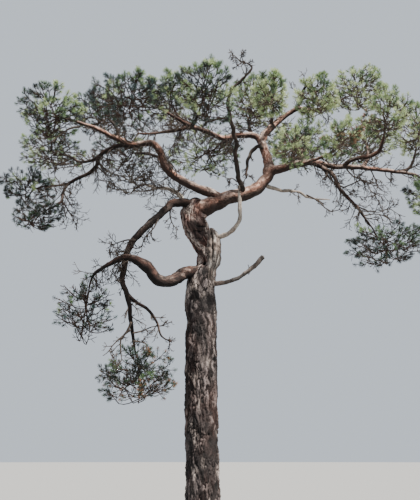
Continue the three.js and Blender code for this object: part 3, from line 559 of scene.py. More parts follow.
# Limbs: radii along the way and the points that each runs through, from inside its parent outwards
limbCourses = dict(
    left_limb=((0.07, 0.064, 0.054, 0.04, 0.024), (
        (0.27, 0.02, 5.55), (0.15, -0.02, 5.63), (-0.01, -0.08, 5.69), (-0.16, -0.15, 5.72),
        (-0.39, -0.25, 5.8), (-0.61, -0.35, 5.97), (-0.69, -0.45, 6.18), (-0.81, -0.5, 6.31),
        (-1.13, -0.55, 6.25), (-1.34, -0.55, 6.35), (-1.6, -0.6, 6.47))),
    left_low_limb=((0.036, 0.034, 0.03, 0.026, 0.022, 0.016), (
        (-1.09, -0.545, 6.25), (-1.33, -0.5, 6.26), (-1.64, -0.36, 6.16), (-1.71, -0.28, 6.01),
        (-1.85, -0.22, 5.91), (-2.02, -0.2, 5.83), (-2.16, -0.2, 5.74), (-2.21, -0.28, 5.55),
        (-2.2, -0.4, 5.35))),
    left_low_bough=((0.022, 0.016), ((-2.16, -0.2, 5.74), (-2.42, -0.06, 5.77))),
    left_under_bough=((0.024, 0.022, 0.018), (
        (-1.64, -0.36, 6.16), (-1.81, -0.22, 6.14), (-2.04, 0.02, 6.23), (-2.23, 0.24, 6.42))),
    left_top_bough=((0.032, 0.026, 0.018), (
        (-1.33, -0.55, 6.345), (-1.37, -0.4, 6.5), (-1.42, -0.18, 6.72), (-1.6, 0.06, 7.04))),
    back_left_bough=((0.038, 0.03, 0.02), (
        (-0.33, -0.22, 5.775), (-0.43, -0.02, 5.93), (-0.62, 0.35, 6.35), (-0.98, 0.85, 6.79))),
    right_limb=((0.122, 0.106, 0.098, 0.064, 0.046, 0.038, 0.032, 0.024), (
        (-0.11, 0.03, 5.35), (0.04, 0.02, 5.43), (0.18, 0.01, 5.48), (0.36, 0, 5.57), (0.57, 0.04, 5.66),
        (0.77, 0.09, 5.73), (0.9, 0.1, 5.84), (1.02, 0.1, 5.99), (1.12, 0.08, 6.1), (1.34, 0, 6.12),
        (1.54, -0.1, 6.14), (1.77, -0.2, 6.11), (2.03, -0.2, 6.06), (2.58, -0.1, 6.07), (3.25, 0.1, 6.08),
        (3.54, 0.15, 6.04))),
    rising_limb=((0.084, 0.07, 0.062, 0.044, 0.034, 0.022), (
        (1.06, 0.09, 6.02), (1.07, 0.13, 6.24), (1.04, 0.16, 6.42), (0.97, 0.2, 6.7), (1.19, 0.35, 7.08),
        (1.39, 0.43, 7.29), (1.64, 0.4, 7.45), (1.87, 0.3, 7.34), (2.18, 0.18, 7.38))),
    crown_left_limb=((0.054, 0.044, 0.038, 0.03, 0.016), (
        (1.01, 0.19, 6.64), (0.85, 0.2, 6.81), (0.54, 0.15, 6.78), (0.3, 0, 6.66), (0.07, -0.2, 6.67),
        (-0.17, -0.4, 6.65), (-0.47, -0.85, 6.59), (-0.8, -1.25, 6.56))),
    top_left_bough=((0.03, 0.026, 0.018), (
        (0.06, -0.21, 6.67), (-0.2, -0.23, 6.78), (-0.42, -0.19, 6.96))),
    front_middle_bough=((0.032, 0.026, 0.018), (
        (-0.19, -0.43, 6.64), (-0.14, -0.68, 6.58), (-0.08, -0.95, 6.57))),
    crown_low_bough=((0.031, 0.031, 0.026, 0.018, 0.01), (
        (-0.13, -0.37, 6.65), (-0.21, -0.42, 6.63), (-0.46, -0.43, 6.57), (-0.72, -0.46, 6.51),
        (-0.9, -0.5, 6.47), (-1.04, -0.52, 6.47))),
    top_middle_bough=((0.03, 0.024, 0.018), ((0.83, 0.2, 6.8), (0.79, 0.28, 7), (0.76, 0.4, 7.3))),
    centre_back_bough=((0.034, 0.028, 0.02), ((0.54, 0.15, 6.78), (0.46, 0.4, 6.86), (0.33, 0.8, 6.99))),
    top_right_bough=((0.026, 0.022, 0.018), (
        (1.62, 0.405, 7.44), (1.72, 0.41, 7.62), (1.75, 0.39, 7.8), (1.82, 0.34, 7.88), (1.9, 0.27, 7.79))),
    front_right_bough=((0.034, 0.028, 0.018), (
        (1.19, 0.345, 7.06), (1.15, 0.1, 7), (1.12, -0.25, 6.93), (1.1, -0.6, 6.86))),
    front_low_bough=((0.034, 0.028, 0.02), ((1.34, 0, 6.12), (1.39, -0.2, 6.1), (1.38, -0.42, 6.06))),
    right_upper_bough=((0.034, 0.034, 0.032, 0.02), (
        (2.24, -0.16, 6.06), (2.34, -0.3, 6.1), (2.46, -0.42, 6.09), (2.59, -0.54, 6.06),
        (2.7, -0.66, 6.09), (2.73, -0.8, 6.19))),
    right_middle_bough=((0.028, 0.024, 0.018), (
        (1.58, -0.12, 6.13), (1.75, -0.4, 6.07), (1.89, -0.68, 6.02), (1.97, -0.9, 5.98))),
    right_outer_bough=((0.028, 0.024, 0.018), (
        (3.18, 0.08, 6.078), (3.42, 0.19, 6.2), (3.55, 0.24, 6.44))),
    back_right_bough=((0.044, 0.036, 0.022), (
        (1.54, -0.1, 6.14), (1.62, 0.2, 6.34), (1.73, 0.6, 6.67), (1.76, 0.95, 6.93))),
    right_back_bough=((0.038, 0.03, 0.02), (
        (2.56, -0.1, 6.07), (2.68, 0.15, 6.26), (2.83, 0.48, 6.53), (2.92, 0.78, 6.82))),
    right_drooping_limb=((0.036, 0.032, 0.028, 0.024, 0.016), (
        (1.76, -0.21, 6.12), (1.9, -0.25, 6), (2.03, -0.35, 5.83), (2.12, -0.45, 5.53),
        (2.33, -0.5, 5.23), (2.5, -0.5, 4.95))),
    arching_limb=((0.07, 0.058, 0.052, 0.046), (
        (-0.13, -0.02, 5.43), (-0.33, -0.07, 5.46), (-0.5, -0.17, 5.41), (-0.68, -0.3, 5.17),
        (-0.89, -0.42, 4.92), (-1.08, -0.46, 4.65), (-1.17, -0.475, 4.42))),
    hanging_limb=((0.042, 0.038, 0.032, 0.022), (
        (-1.17, -0.475, 4.43), (-1.17, -0.48, 4.25), (-1.19, -0.47, 4.09), (-1.12, -0.45, 3.9),
        (-1.08, -0.37, 3.73), (-1.07, -0.28, 3.56), (-1.04, -0.1, 3.29))),
    hanging_side_branch=((0.026, 0.024, 0.018, 0.009), (
        (-1.12, -0.445, 3.89), (-0.97, -0.35, 3.77), (-0.83, -0.3, 3.69), (-0.68, -0.18, 3.5),
        (-0.62, -0.12, 3.32), (-0.47, -0.06, 3.24))),
    sagging_limb=((0.098, 0.09, 0.086, 0.082, 0.082, 0.048, 0.03, 0.02), (
        (0, 0.03, 4.31), (-0.25, -0.14, 4.3), (-0.38, -0.3, 4.18), (-0.51, -0.4, 4.08),
        (-0.64, -0.5, 4.09), (-0.79, -0.58, 4.22), (-0.97, -0.66, 4.34), (-1.15, -0.7, 4.36),
        (-1.46, -0.64, 4.22), (-1.61, -0.56, 4.11))),
    twiggy_limb=((0.05, 0.038, 0.03, 0.02), (
        (-0.15, 0.13, 5.39), (-0.31, 0.19, 5.54), (-0.44, 0.29, 5.79), (-0.7, 0.45, 5.96),
        (-0.85, 0.52, 6))),
    dead_top=((0.04, 0.036, 0.032, 0.028, 0.022, 0.015), (
        (0.65, 0.05, 5.68), (0.6, -0.11, 5.79), (0.53, -0.3, 5.97), (0.49, -0.4, 6.15),
        (0.51, -0.5, 6.31), (0.44, -0.7, 6.53), (0.38, -0.85, 6.76), (0.42, -0.9, 6.98),
        (0.59, -0.9, 7.19), (0.76, -0.9, 7.42))),
    hooked_branch=((0.032, 0.03, 0.026, 0.012), (
        (1.04, 0.165, 6.52), (0.9, 0.13, 6.56), (0.79, 0.11, 6.46), (0.71, 0.06, 6.21),
        (0.69, 0.02, 5.94))),
    grey_branch=((0.044, 0.036, 0.032, 0.028, 0.012), (
        (0.06, -0.04, 4.85), (0.24, -0.1, 4.89), (0.47, -0.25, 4.96), (0.56, -0.31, 5.13),
        (0.555, -0.33, 5.38), (0.55, -0.33, 5.66))),
    pale_branch=((0.034, 0.026, 0.02, 0.008), (
        (0.96, 0.1, 5.88), (1.12, 0.18, 5.85), (1.29, 0.3, 5.85), (1.58, 0.5, 5.92), (1.8, 0.7, 5.89),
        (2.21, 0.9, 5.92))),
    broken_branch=((0.042, 0.032, 0.029, 0.036), (
        (0.06, 0, 4.17), (0.23, -0.03, 4.17), (0.41, -0.1, 4.17), (0.68, -0.2, 4.29), (0.91, -0.25, 4.51))),
)

# Masses of foliage: the limb each one ends, its middle, its reach along X, Y and Z, how many
# sprays the rule gives it, its seed, and the mixture of greens that it takes
masses = dict(
    needles_left_outer=("left_limb", (-2.4, -0.7, 6.74), (0.5, 0.58, 0.41), 14, 11, "mixed"),
    needles_left_lowest=("left_low_limb", (-2.48, -0.72, 5.01), (0.43, 0.38, 0.21), 8, 12, "shade"),
    needles_left_low=("left_low_bough", (-2.93, 0.2, 5.86), (0.47, 0.48, 0.27), 9, 13, "blue"),
    needles_left_under=("left_under_bough", (-2.7, 0.68, 6.76), (0.57, 0.65, 0.29), 12, 14, "mixed"),
    needles_left_top=("left_top_bough", (-1.82, 0.2, 7.27), (0.5, 0.58, 0.32), 12, 15, "blue"),
    needles_back_left=("back_left_bough", (-1.59, 1.56, 7.17), (0.58, 0.74, 0.31), 13, 16, "blue"),
    needles_right_end=("right_limb", (3.76, 0.25, 5.8), (0.44, 0.52, 0.32), 9, 17, "mixed"),
    needles_right_top=("rising_limb", (2.7, 0.3, 7.78), (0.54, 0.54, 0.42), 13, 18, "bright"),
    needles_front_left=("crown_left_limb", (-1.06, -1.4, 6.54), (0.58, 0.66, 0.29), 14, 19, "blue"),
    needles_top_left=("top_left_bough", (-0.58, -0.1, 7.42), (0.44, 0.56, 0.35), 11, 20, "mixed"),
    needles_front_middle=("front_middle_bough", (0.04, -1.55, 6.54), (0.47, 0.68, 0.38), 13, 21, "mixed"),
    needles_top_middle=("top_middle_bough", (0.82, 0.4, 7.56), (0.41, 0.62, 0.41), 13, 22, "olive"),
    needles_centre_back=("centre_back_bough", (0, 1.45, 7.11), (0.68, 0.85, 0.36), 14, 23, "mixed"),
    needles_top_right=("top_right_bough", (1.85, -0.3, 7.27), (0.37, 0.52, 0.29), 11, 24, "bright"),
    needles_front_right=("front_right_bough", (0.99, -1.2, 6.74), (0.28, 0.56, 0.22), 11, 25, "bright"),
    needles_front_low=("front_low_bough", (1.35, -0.98, 6.02), (0.33, 0.54, 0.22), 9, 26, "olive"),
    needles_right_upper=("right_upper_bough", (2.77, -1, 6.54), (0.39, 0.54, 0.34), 11, 27, "brownish"),
    needles_right_middle=("right_middle_bough", (1.99, -1.26, 5.99), (0.29, 0.52, 0.22), 9, 28, "brownish"),
    needles_right_outer=("right_outer_bough", (3.7, 0.3, 6.98), (0.5, 0.62, 0.43), 14, 29, "bright"),
    needles_back_right=("back_right_bough", (1.79, 1.5, 7.33), (0.62, 0.8, 0.37), 15, 30, "olive"),
    needles_right_back=("right_back_bough", (3.06, 1.4, 7.36), (0.59, 0.7, 0.37), 13, 31, "bright"),
    needles_right_drooping=("right_drooping_limb", (2.75, -0.4, 4.67), (0.62, 0.6, 0.35), 13, 32, "shade"),
    needles_low_hanging=("hanging_limb", (-0.96, 0, 2.79), (0.62, 0.6, 0.46), 13, 33, "rusty"),
    needles_low_outer=("sagging_limb", (-1.72, -0.4, 3.67), (0.44, 0.48, 0.5), 12, 34, "shade"),
    dead_twigs_top=("dead_top", (0.54, -0.9, 7.57), (0.27, 0.26, 0.15), 8, 36, "bare"),
    dead_twigs_left=("twiggy_limb", (-1.28, 0.8, 6.27), (0.6, 0.5, 0.29), 14, 35, "bare"),
)

limbRule = dict(collarSwell=0.35, collarLength=2.2, entryShare=0.94, entryStep=0.002, firstSeed=40, seeds=9)


def insideMass(mass, points, share=1.0):
    # squares of the offsets over the reaches add up to no more than the share's square
    return (((points - mass["centre"]) / mass["reach"]) ** 2).sum(axis=-1) <= share * share


def routeLimb(name):
    # the line runs on into the mass that the limb carries, and the limb ends at its edge
    radii, path = limbCourses[name]
    limb = dict(name=name, radii=radii, mass=None, end=1.0)
    for massName, (carrier, centre, reach, *rest) in masses.items():
        if carrier == name:
            limb["mass"] = dict(zip(("sprays", "seed", "mixture"), rest), name=massName,
                                centre=np.array(centre), reach=np.array(reach))
            path = (*path, centre)
    limb["course"] = Course(path)
    if limb["mass"]:
        shares = np.arange(0, 1, limbRule["entryStep"])
        inside = insideMass(limb["mass"], limb["course"].at(shares), limbRule["entryShare"])
        limb["end"] = shares[np.argmax(inside)]
    return limb


def limbRadius(limb, share):
    # its taper, times a collar that swells towards its parent
    run = share * limb["end"] * limb["course"].length
    collar = 1 + limbRule["collarSwell"] * np.exp(-run / (limbRule["collarLength"] * limb["radii"][0]))
    return spread(limb["radii"], share) * collar


limbs = {name: routeLimb(name) for name in limbCourses}

# How bark and dead wood lie on a limb. Steps, sizes and widths are in metres, depths and heights are
# shares of the limb's radius, ranges are start and end, and byLight is the painted light that the upper
# side adds. underside is how much painted shade, the crack colour, darkens the lower side
limbRelief = dict(
    ringStep=0.014, sideStep=0.011, fewestRings=6, fewestSides=12, mostSides=48, girthSamples=20,
    rounding=0.9, roundFrom=0.02, footRise=0.3, tipRise=0.6, bend=0.12, bendWidth=0.16,
    swayWidth=0.05, cellSeed=0.37,
    flake=dict(size=(0.022, 0.022, 0.080), sway=0.008, rim=(0.0, 0.16), depth=0.045, level=0.7, vary=0.5),
    lump=0.045, lumpWidth=0.07, knotEvery=0.34, knotHeight=0.22, knotPlace=(0.05, 0.97),
    knotSize=(0.5, 0.9), knotWidth=0.75, grooves=(), grooveShade=(0.2, 0.9),
    undersideShade=0.95, undersideShadeRange=(-0.1, 0.6), tint=dict(base=0.25, byFlake=0.5, byLight=0.32),
    shade=0.75, warmWidth=0.12, warmRange=(-0.9, 0.6),
    streakWidth=0.05, pale=dict(byLight=1.1, most=0.8, range=(0.5, 1.7)),
)
woodRelief = dict(
    limbRelief, ringStep=0.015, sideStep=0.009, fewestSides=10, mostSides=30, bend=0.30,
    flake=dict(limbRelief["flake"], size=(0.010, 0.010, 0.20), depth=0.10),
    lump=0.12, knotEvery=0.22, knotHeight=0.30, undersideShade=0.3,
)


def limbSurface(course, last, radiusAt, relief, seed, shaded):
    # rings round a line that strays a little. Radius = taper, times flakes, lumps and knots, less
    # grooves, and a quarter circle at the start. Flakes lie on the limb unrolled straight. The
    # patterns take the seed and the eight numbers after it
    chance = np.random.default_rng(seed)
    length = course.length * last
    rings = max(relief["fewestRings"], round(length / relief["ringStep"]))
    thickest = float(np.max(radiusAt(np.linspace(0, 1, relief["girthSamples"]))))
    sides = round(2 * math.pi * thickest / relief["sideStep"])
    sides = min(max(sides, relief["fewestSides"]), relief["mostSides"])
    share = np.linspace(0, 1, rings)
    middle = course.at(share * last)
    along = course.heading(share * last)
    spare = np.linalg.svd(middle - middle.mean(axis=0))[2][-1]
    side = unit(spare - along * (along @ spare)[:, None])
    other = np.cross(side, along)
    taper = radiusAt(share)
    begun = np.clip(share * length / (relief["rounding"] * taper[0]), relief["roundFrom"], 1)
    taper = taper * np.sqrt(1 - (1 - begun) ** 2)
    for way, waveSeed in ((side, seed + 1), (other, seed + 2)):
        stray = ripples(middle, relief["bendWidth"], waveSeed)[:, None]
        middle = middle + way * (relief["bend"] * taper[:, None]) * stray
    angle = np.tile(circle(sides), rings)
    run = np.repeat(share * length, sides)
    radius = np.repeat(taper, sides)
    flat = unrolled(angle, radius, run)
    sway = np.stack([ripples(flat, relief["swayWidth"], seed + k) for k in (3, 4, 5)], axis=1)
    plate, tint = barkCells(flat, sway, relief["flake"], seed * relief["cellSeed"])
    bulge = raised(plate, tint, relief["flake"])
    bulge += relief["lump"] * ripples(flat, relief["lumpWidth"], seed + 6)
    for _ in range(int(length / relief["knotEvery"])):
        place = chance.uniform(*relief["knotPlace"]) * length
        turn = chance.uniform(0, 2 * math.pi)
        size = chance.uniform(*relief["knotSize"])
        away = np.hypot((run - place) / radius, (angle - turn + math.pi) % (2 * math.pi) - math.pi)
        bulge += relief["knotHeight"] * size * np.exp(-(away / (relief["knotWidth"] * size)) ** 2)
    across = outwards(side, other, angle)
    for way, width, depth in relief["grooves"]:
        furrow = np.exp(-(1 - across @ unit(np.array(way))) / width ** 2)
        bulge -= depth * furrow
        # painted shade: the grooves take the crack colour
        plate = plate * (1 - turnTo(*relief["grooveShade"], furrow))
    points = np.repeat(middle, sides, axis=0) + across * (radius * (1 + bulge))[:, None]
    foot = middle[0] - along[0] * taper[0] * relief["footRise"]
    tip = middle[-1] + along[-1] * taper[-1] * relief["tipRise"]
    lit = 1 - relief["shade"] * turnTo(*shaded, np.repeat(share, sides))
    marks = limbMarks(flat, plate, tint, across[:, 2], lit, relief, seed)
    return np.vstack([points, foot, tip]), ringFaces(rings, sides), marks


def limbMarks(flat, plate, tint, upward, lit, relief, seed):
    # painted light and shade: the top is lighter and the pale streaks of weathering spread over it, a
    # painted highlight, the lower side takes the crack colour as painted shade, and painted shade dulls
    # all where it isn't lit
    look, pale = relief["tint"], relief["pale"]
    tint = np.clip(tint * look["byFlake"] + look["base"] + look["byLight"] * upward, 0, 1)
    streaks = ripples(flat, relief["streakWidth"], seed + 8, 0.35) + pale["byLight"] * upward
    return dict(
        plate=plate * (1 - relief["undersideShade"] * turnTo(*relief["undersideShadeRange"], -upward)),
        tint=lit * tint, pale=lit * pale["most"] * turnTo(*pale["range"], streaks),
        warm=turnTo(*relief["warmRange"], ripples(flat, relief["warmWidth"], seed + 7, 0.5)))


# Which limbs take another bark than the lit, reddish one, and where along its length a lit limb
# passes into the crown's shade
brownLimbs = ("sagging_limb", "hanging_limb", "hanging_side_branch", "right_drooping_limb",
              "right_outer_bough", "top_right_bough", "centre_back_bough", "right_back_bough")
shadeLimbs = ("left_low_limb", "left_low_bough", "left_under_bough", "left_top_bough", "back_left_bough",
              "top_left_bough", "front_middle_bough", "top_middle_bough", "arching_limb")
greyLimbs = ("grey_branch", "pale_branch", "twiggy_limb")
darkLimbs = ("dead_top", "hooked_branch")
splitLimbs = ("broken_branch",)
limbCovers = (
    (brownLimbs, brownBark, "limb_bark", limbRelief), (shadeLimbs, shadeBark, "limb_bark", limbRelief),
    (greyLimbs, greyWood, "deadwood_grey", woodRelief), (darkLimbs, darkWood, "deadwood_dark", woodRelief),
    (splitLimbs, leaderWood, "deadwood_dark", woodRelief),
)
neverShaded = (1, 2)
shadedEnds = dict(crown_left_limb=(0.42, 0.62), crown_low_bough=(0.0, 0.5))


def makeLimb(limb, number):
    # its line and radii, under the bark that its name calls for
    name = limb["name"]
    finish, slotName, relief = limbBark, "limb_bark", limbRelief
    for names, *cover in limbCovers:
        if name in names:
            finish, slotName, relief = cover
    seed = limbRule["firstSeed"] + limbRule["seeds"] * number
    points, faceSets, marks = limbSurface(
        limb["course"], limb["end"], lambda share: limbRadius(limb, share), relief, seed,
        shadedEnds.get(name, neverShaded))
    addPiece("bark_" + name, points, faceSets, [name], [finish], marks=marks)


for number, limb in enumerate(limbs.values()):
    makeLimb(limb, number)
print(len(limbs), "limbs grown")

# The dead grey leader that stands against the trunk, split at its head
deadLeader = dict(
    path=((0.1, -0.14, 4.16), (0.12, -0.13, 4.34), (0.16, -0.1, 4.54), (0.16, -0.08, 4.74),
          (0.15, -0.06, 4.9), (0.12, -0.05, 5.03)),
    radii=(0.05, 0.072, 0.104, 0.108, 0.096, 0.052), seed=771, flake=(0.016, 0.016, 0.34),
    grooves=(((-0.30, -0.95, 0), 0.16, 0.42), ((0.55, -0.80, 0), 0.10, 0.16)),
)


def makeLeader(form):
    # dead wood with long plates and deep grooves, darkened with painted shade
    flake = dict(woodRelief["flake"], size=form["flake"])
    relief = dict(woodRelief, mostSides=60, lump=0.09, flake=flake, bend=0.05, grooves=form["grooves"])
    points, faceSets, marks = limbSurface(
        Course(form["path"]), 1.0, lambda share: spread(form["radii"], share), relief, form["seed"],
        neverShaded)
    addPiece("dead_leader", points, faceSets, ["trunk"], [leaderWood], marks=marks)


makeLeader(deadLeader)
print("dead leader stands")

# The rule that the sprays and twigs of a mass grow by. depth, rise and size are a base and a breadth,
# of which a draw takes a share
growth = dict(
    sprayShare=0.85, bareShare=0.75, teeth=3, fan=math.radians(120), notch=0.42, fall=0.25,
    depth=(0.25, 0.6), rise=(0.25, 0.6), size=(0.75, 0.35), spacing=1.03, spacingLoss=0.5, tries=900,
    clearance=0.030, samples=90, nearShare=1.6, tests=(0.2, 0.4, 0.6, 0.8),
    tipRadius=0.007, thickening=0.4, shootShare=0.55, shootRange=(0.08, 0.8), shootTaper=0.9,
    seatGap=0.0003, stemShare=0.3, stemTop=0.8, stemToTwig=0.7, stemOverlap=0.03, stemPieces=3,
    finerSeed=(31, 5),
)


def draws(seed):
    # each number is the last times a factor, less whole multiples of the largest 31-bit prime
    factor, prime = 16807, 2147483647
    state = seed * 7919 + 17
    while True:
        state = state * factor % prime
        yield state / prime


def drawn(label, number):
    # a base plus a number's share of a breadth
    base, breadth = growth[label]
    return base + breadth * number


def randomWay(draw):
    # evenly over a ball's surface: an even height and an even turn
    height = 2 * next(draw) - 1
    turn = 2 * math.pi * next(draw)
    flat = math.sqrt(1 - height * height)
    return np.array((flat * math.cos(turn), flat * math.sin(turn), height))


def middleReach(mass):
    # cube root of the product of the three reaches
    return float(np.cbrt(mass["reach"].prod()))


def makeSpray(mass, way, depth, rise, across, size, within=1.0):
    # a fan that faces out and up from the mass's middle, with its root half its length behind
    middle = mass["centre"] + way * mass["reach"] * within * depth
    along = unit(np.array((way[0], way[1], rise)) * mass["reach"])
    across = unit(across - along * across.dot(along))
    return dict(root=middle - along * size / 2, middle=middle, along=along, across=across, length=size)


def sprayRim(spray):
    # the root and the teeth of one spray, a fan in the plane of its two directions
    last = 2 * growth["teeth"] - 2
    k = np.arange(last + 1)
    angle = growth["fan"] * (k / last - 0.5)
    reach = spray["length"] * np.where(k % 2 == 0, 1 - growth["fall"] * np.abs(angle), growth["notch"])
    teeth = spray["root"] + np.outer(reach * np.cos(angle), spray["along"])
    teeth += np.outer(reach * np.sin(angle), spray["across"])
    return np.vstack([spray["root"], teeth])


def limbsNear(mass):
    # points along all limbs that are near the mass, and how far to keep from each
    share = np.linspace(0, 1, growth["samples"] + 1)
    points = np.vstack([limb["course"].at(share * limb["end"]) for limb in limbs.values()])
    radii = np.concatenate([limbRadius(limb, share) for limb in limbs.values()])
    near = insideMass(mass, points, growth["nearShare"])
    return points[near], radii[near] + growth["clearance"]


def clearOf(near, points):
    # whether every point keeps further from every near limb than it has to
    away = np.linalg.norm(points[:, None] - near[0][None], axis=2)
    return bool((away > near[1]).all())


def placeSprays(mass, stemEnd):
    # scattered through the mass, kept apart, wholly inside it and clear of limbs
    near = limbsNear(mass)
    draw = draws(mass["seed"])
    length = growth["bareShare" if mass["mixture"] == "bare" else "sprayShare"] * middleReach(mass)
    sprays = []
    for attempt in range(growth["tries"]):
        if len(sprays) == mass["sprays"]:
            break
        spray = makeSpray(mass, randomWay(draw), drawn("depth", float(np.cbrt(next(draw)))),
                          drawn("rise", next(draw)), randomWay(draw), length * drawn("size", next(draw)))
        apart = length * growth["spacing"] * (1 - growth["spacingLoss"] * attempt / growth["tries"])
        if any(np.linalg.norm(other["middle"] - spray["middle"]) <= apart for other in sprays):
            continue
        rim = sprayRim(spray)
        way = np.array([stemEnd + (spray["root"] - stemEnd) * test for test in growth["tests"]])
        if insideMass(mass, rim).all() and clearOf(near, rim) and clearOf(near, way):
            sprays.append(spray)
    return sprays


def twigRadius(count):
    # the tip's radius times a power of how many sprays the twig carries
    return growth["tipRadius"] * count ** growth["thickening"]


def branch(start, radius, sprays, twigs):
    # a leader runs to the furthest spray. Side shoots leave it towards the rest, which share
    # themselves out by the side of the leader on which they lie
    leader = max(sprays, key=lambda spray: np.linalg.norm(spray["root"] - start))
    twigs.append((start, leader["root"], radius, growth["tipRadius"]))
    rest = [spray for spray in sprays if spray is not leader]
    if not rest:
        return
    run = leader["root"] - start
    square = run.dot(run)
    middle = np.mean([spray["root"] for spray in rest], axis=0)
    offset = middle - start - run * (middle - start).dot(run) / square
    onSide = [spray for spray in rest if (spray["root"] - middle).dot(offset) > 0]
    offSide = [spray for spray in rest if (spray["root"] - middle).dot(offset) <= 0]
    for group in (onSide, offSide):
        if group:
            passed = np.mean([(spray["root"] - start).dot(run) / square for spray in group])
            share = float(np.clip(passed * growth["shootShare"], *growth["shootRange"]))
            leaderRadius = radius + (growth["tipRadius"] - radius) * share
            thick = min(leaderRadius * growth["shootTaper"], twigRadius(len(group)))
            branch(start + run * share, thick, group, twigs)


# Finer twigs, carried on from each spray within the same reach, and between the source's sprays
# more and smaller ones. Lengths are shares of the twig before, angles are in degrees, and radii are
# in metres, at foot and tip. endShare is where the first end shoot leaves, the step to the next, and
# a random part
finer = dict(
    mainLength=0.88, mainRadius=(0.0090, 0.0046), sideFrom=0.10, sideTo=0.94, sideVary=(0.75, 1.2),
    sideLength=(0.62, 0.26), sideAngle=(36, 66), sideTilt=60, sideRadius=(0.0064, 0.0040),
    endShare=(0.35, 0.22, 0.2), endStray=0.6, endLift=0.4,
    endLength=(0.50, 0.75), endAngle=(38, 64), endRadius=(0.0048, 0.0034),
    sag=0.07, sagStray=0.4, wander=0.06, boughSag=0.03, reachShare=1.14, shoots=(7, 1), moreShoots=(5, 1),
    more=2.4, moreSize=0.66, moreSpacing=0.60, moreTries=2000, moreWithin=0.98, moreDepth=(0.1, 0.9),
    moreReach=1.09, linkRadius=(0.0080, 0.0060), linkFrom=0.12, linkSpots=12,
)
twigGrids = dict(bough=(6, 5), stem=(5, 5), fine=(3, 3))  # rings along, sides round


def twigPoint(twigs, share):
    # straight from start to end, plus a half wave of sag and a full wave of wander
    start, end, sag, wander = (twigs[label] for label in ("start", "end", "sag", "wander"))
    share = np.asarray(share, float)
    t = share[..., None]
    if share.ndim == 2:
        start, end, sag, wander = start[:, None], end[:, None], sag[:, None], wander[:, None]
    return start + (end - start) * t + sag * np.sin(math.pi * t) + wander * np.sin(2 * math.pi * t)


def makeTwigs(start, end, thick, thin, chance, sag=finer["sag"]):
    # one record of arrays for many twigs. Sag and wander are shares of each twig's length
    run = end - start
    length = np.linalg.norm(run, axis=1, keepdims=True)
    drift = chance.normal(size=run.shape) * finer["wander"] * length
    drop = np.array((0, 0, -1.0)) * sag * length
    drop = drop + chance.normal(size=run.shape) * finer["sagStray"] * sag * length
    return dict(start=start, end=end, sag=drop, wander=drift * 0.5,
                thick=np.broadcast_to(thick, len(start)), thin=np.broadcast_to(thin, len(start)))


def tipHeading(twigs):
    # the slope of the line at its end: the run, less pi sags, plus two pi wanders
    return unit(twigs["end"] - twigs["start"] - math.pi * twigs["sag"] + 2 * math.pi * twigs["wander"])


def sideShoots(parents, shares, plane, angles, lengths, radii, chance):
    # shoots that leave each parent at a share, turned off its run by an angle towards the plane
    start = twigPoint(parents, shares)
    run = unit(parents["end"] - parents["start"])
    off = unit(plane - run * (plane * run).sum(axis=1, keepdims=True))
    way = run * np.cos(angles)[:, None] + off * np.sin(angles)[:, None]
    return makeTwigs(start, start + way * lengths[:, None], *radii, chance)


def chosen(twigs, keep):
    # the twigs that a mask or a row of numbers picks
    return {label: values[keep] for label, values in twigs.items()}


def joined(groups):
    # several records of twigs as one
    return {label: np.concatenate([group[label] for group in groups]) for label in groups[0]}


def fineTwigs(mass, sprays, sides, ends, chance):
    # each spray: a main shoot, side shoots to left and right of it in turn, and end shoots on
    # each of those. Returns the twigs and the spray that each belongs to
    count = len(sprays)
    root, along, across, length = (
        np.array([spray[key] for spray in sprays]) for key in ("root", "along", "across", "length"))
    facing = np.cross(along, across)
    tip = root + along * (length * finer["mainLength"])[:, None]
    main = makeTwigs(root, tip, *finer["mainRadius"], chance)
    which = np.repeat(np.arange(count), sides)
    order = np.tile(np.arange(sides), count)
    stretch = finer["sideTo"] - finer["sideFrom"]
    shares = finer["sideFrom"] + stretch * (order + chance.uniform(0, 1, len(which))) / sides
    hand = np.where(order % 2 == 0, 1.0, -1.0)
    tilt = np.radians(chance.uniform(-finer["sideTilt"], finer["sideTilt"], len(which)))
    plane = across[which] * (hand * np.cos(tilt))[:, None] + facing[which] * np.sin(tilt)[:, None]
    angles = np.radians(chance.uniform(*finer["sideAngle"], len(which)))
    most, least = finer["sideLength"]
    lengths = length[which] * (most + (least - most) * shares)
    lengths = lengths * chance.uniform(*finer["sideVary"], len(which))
    side = sideShoots(chosen(main, which), shares, plane, angles, lengths, finer["sideRadius"], chance)
    again = np.repeat(np.arange(len(which)), ends)
    turn = np.tile(np.arange(ends), len(which))
    hand = np.where(turn % 2, 1, -1)[:, None]
    first, step, vary = finer["endShare"]
    endShares = first + step * turn + chance.uniform(0, vary, len(again))
    outward = facing[which[again]]
    endPlane = chance.normal(size=(len(again), 3)) * finer["endStray"] + outward * hand * finer["endLift"]
    endPlane += np.cross(outward, unit(side["end"] - side["start"])[again]) * hand
    angles = np.radians(chance.uniform(*finer["endAngle"], len(again)))
    lengths = lengths[again] * chance.uniform(*finer["endLength"], len(again))
    end = sideShoots(chosen(side, again), endShares, endPlane, angles, lengths, finer["endRadius"], chance)
    twigs = joined([main, side, end])
    owner = np.concatenate([np.arange(count), which, which[again]])
    keep = insideMass(mass, twigs["end"], finer["reachShare"])
    return chosen(twigs, keep), owner[keep]


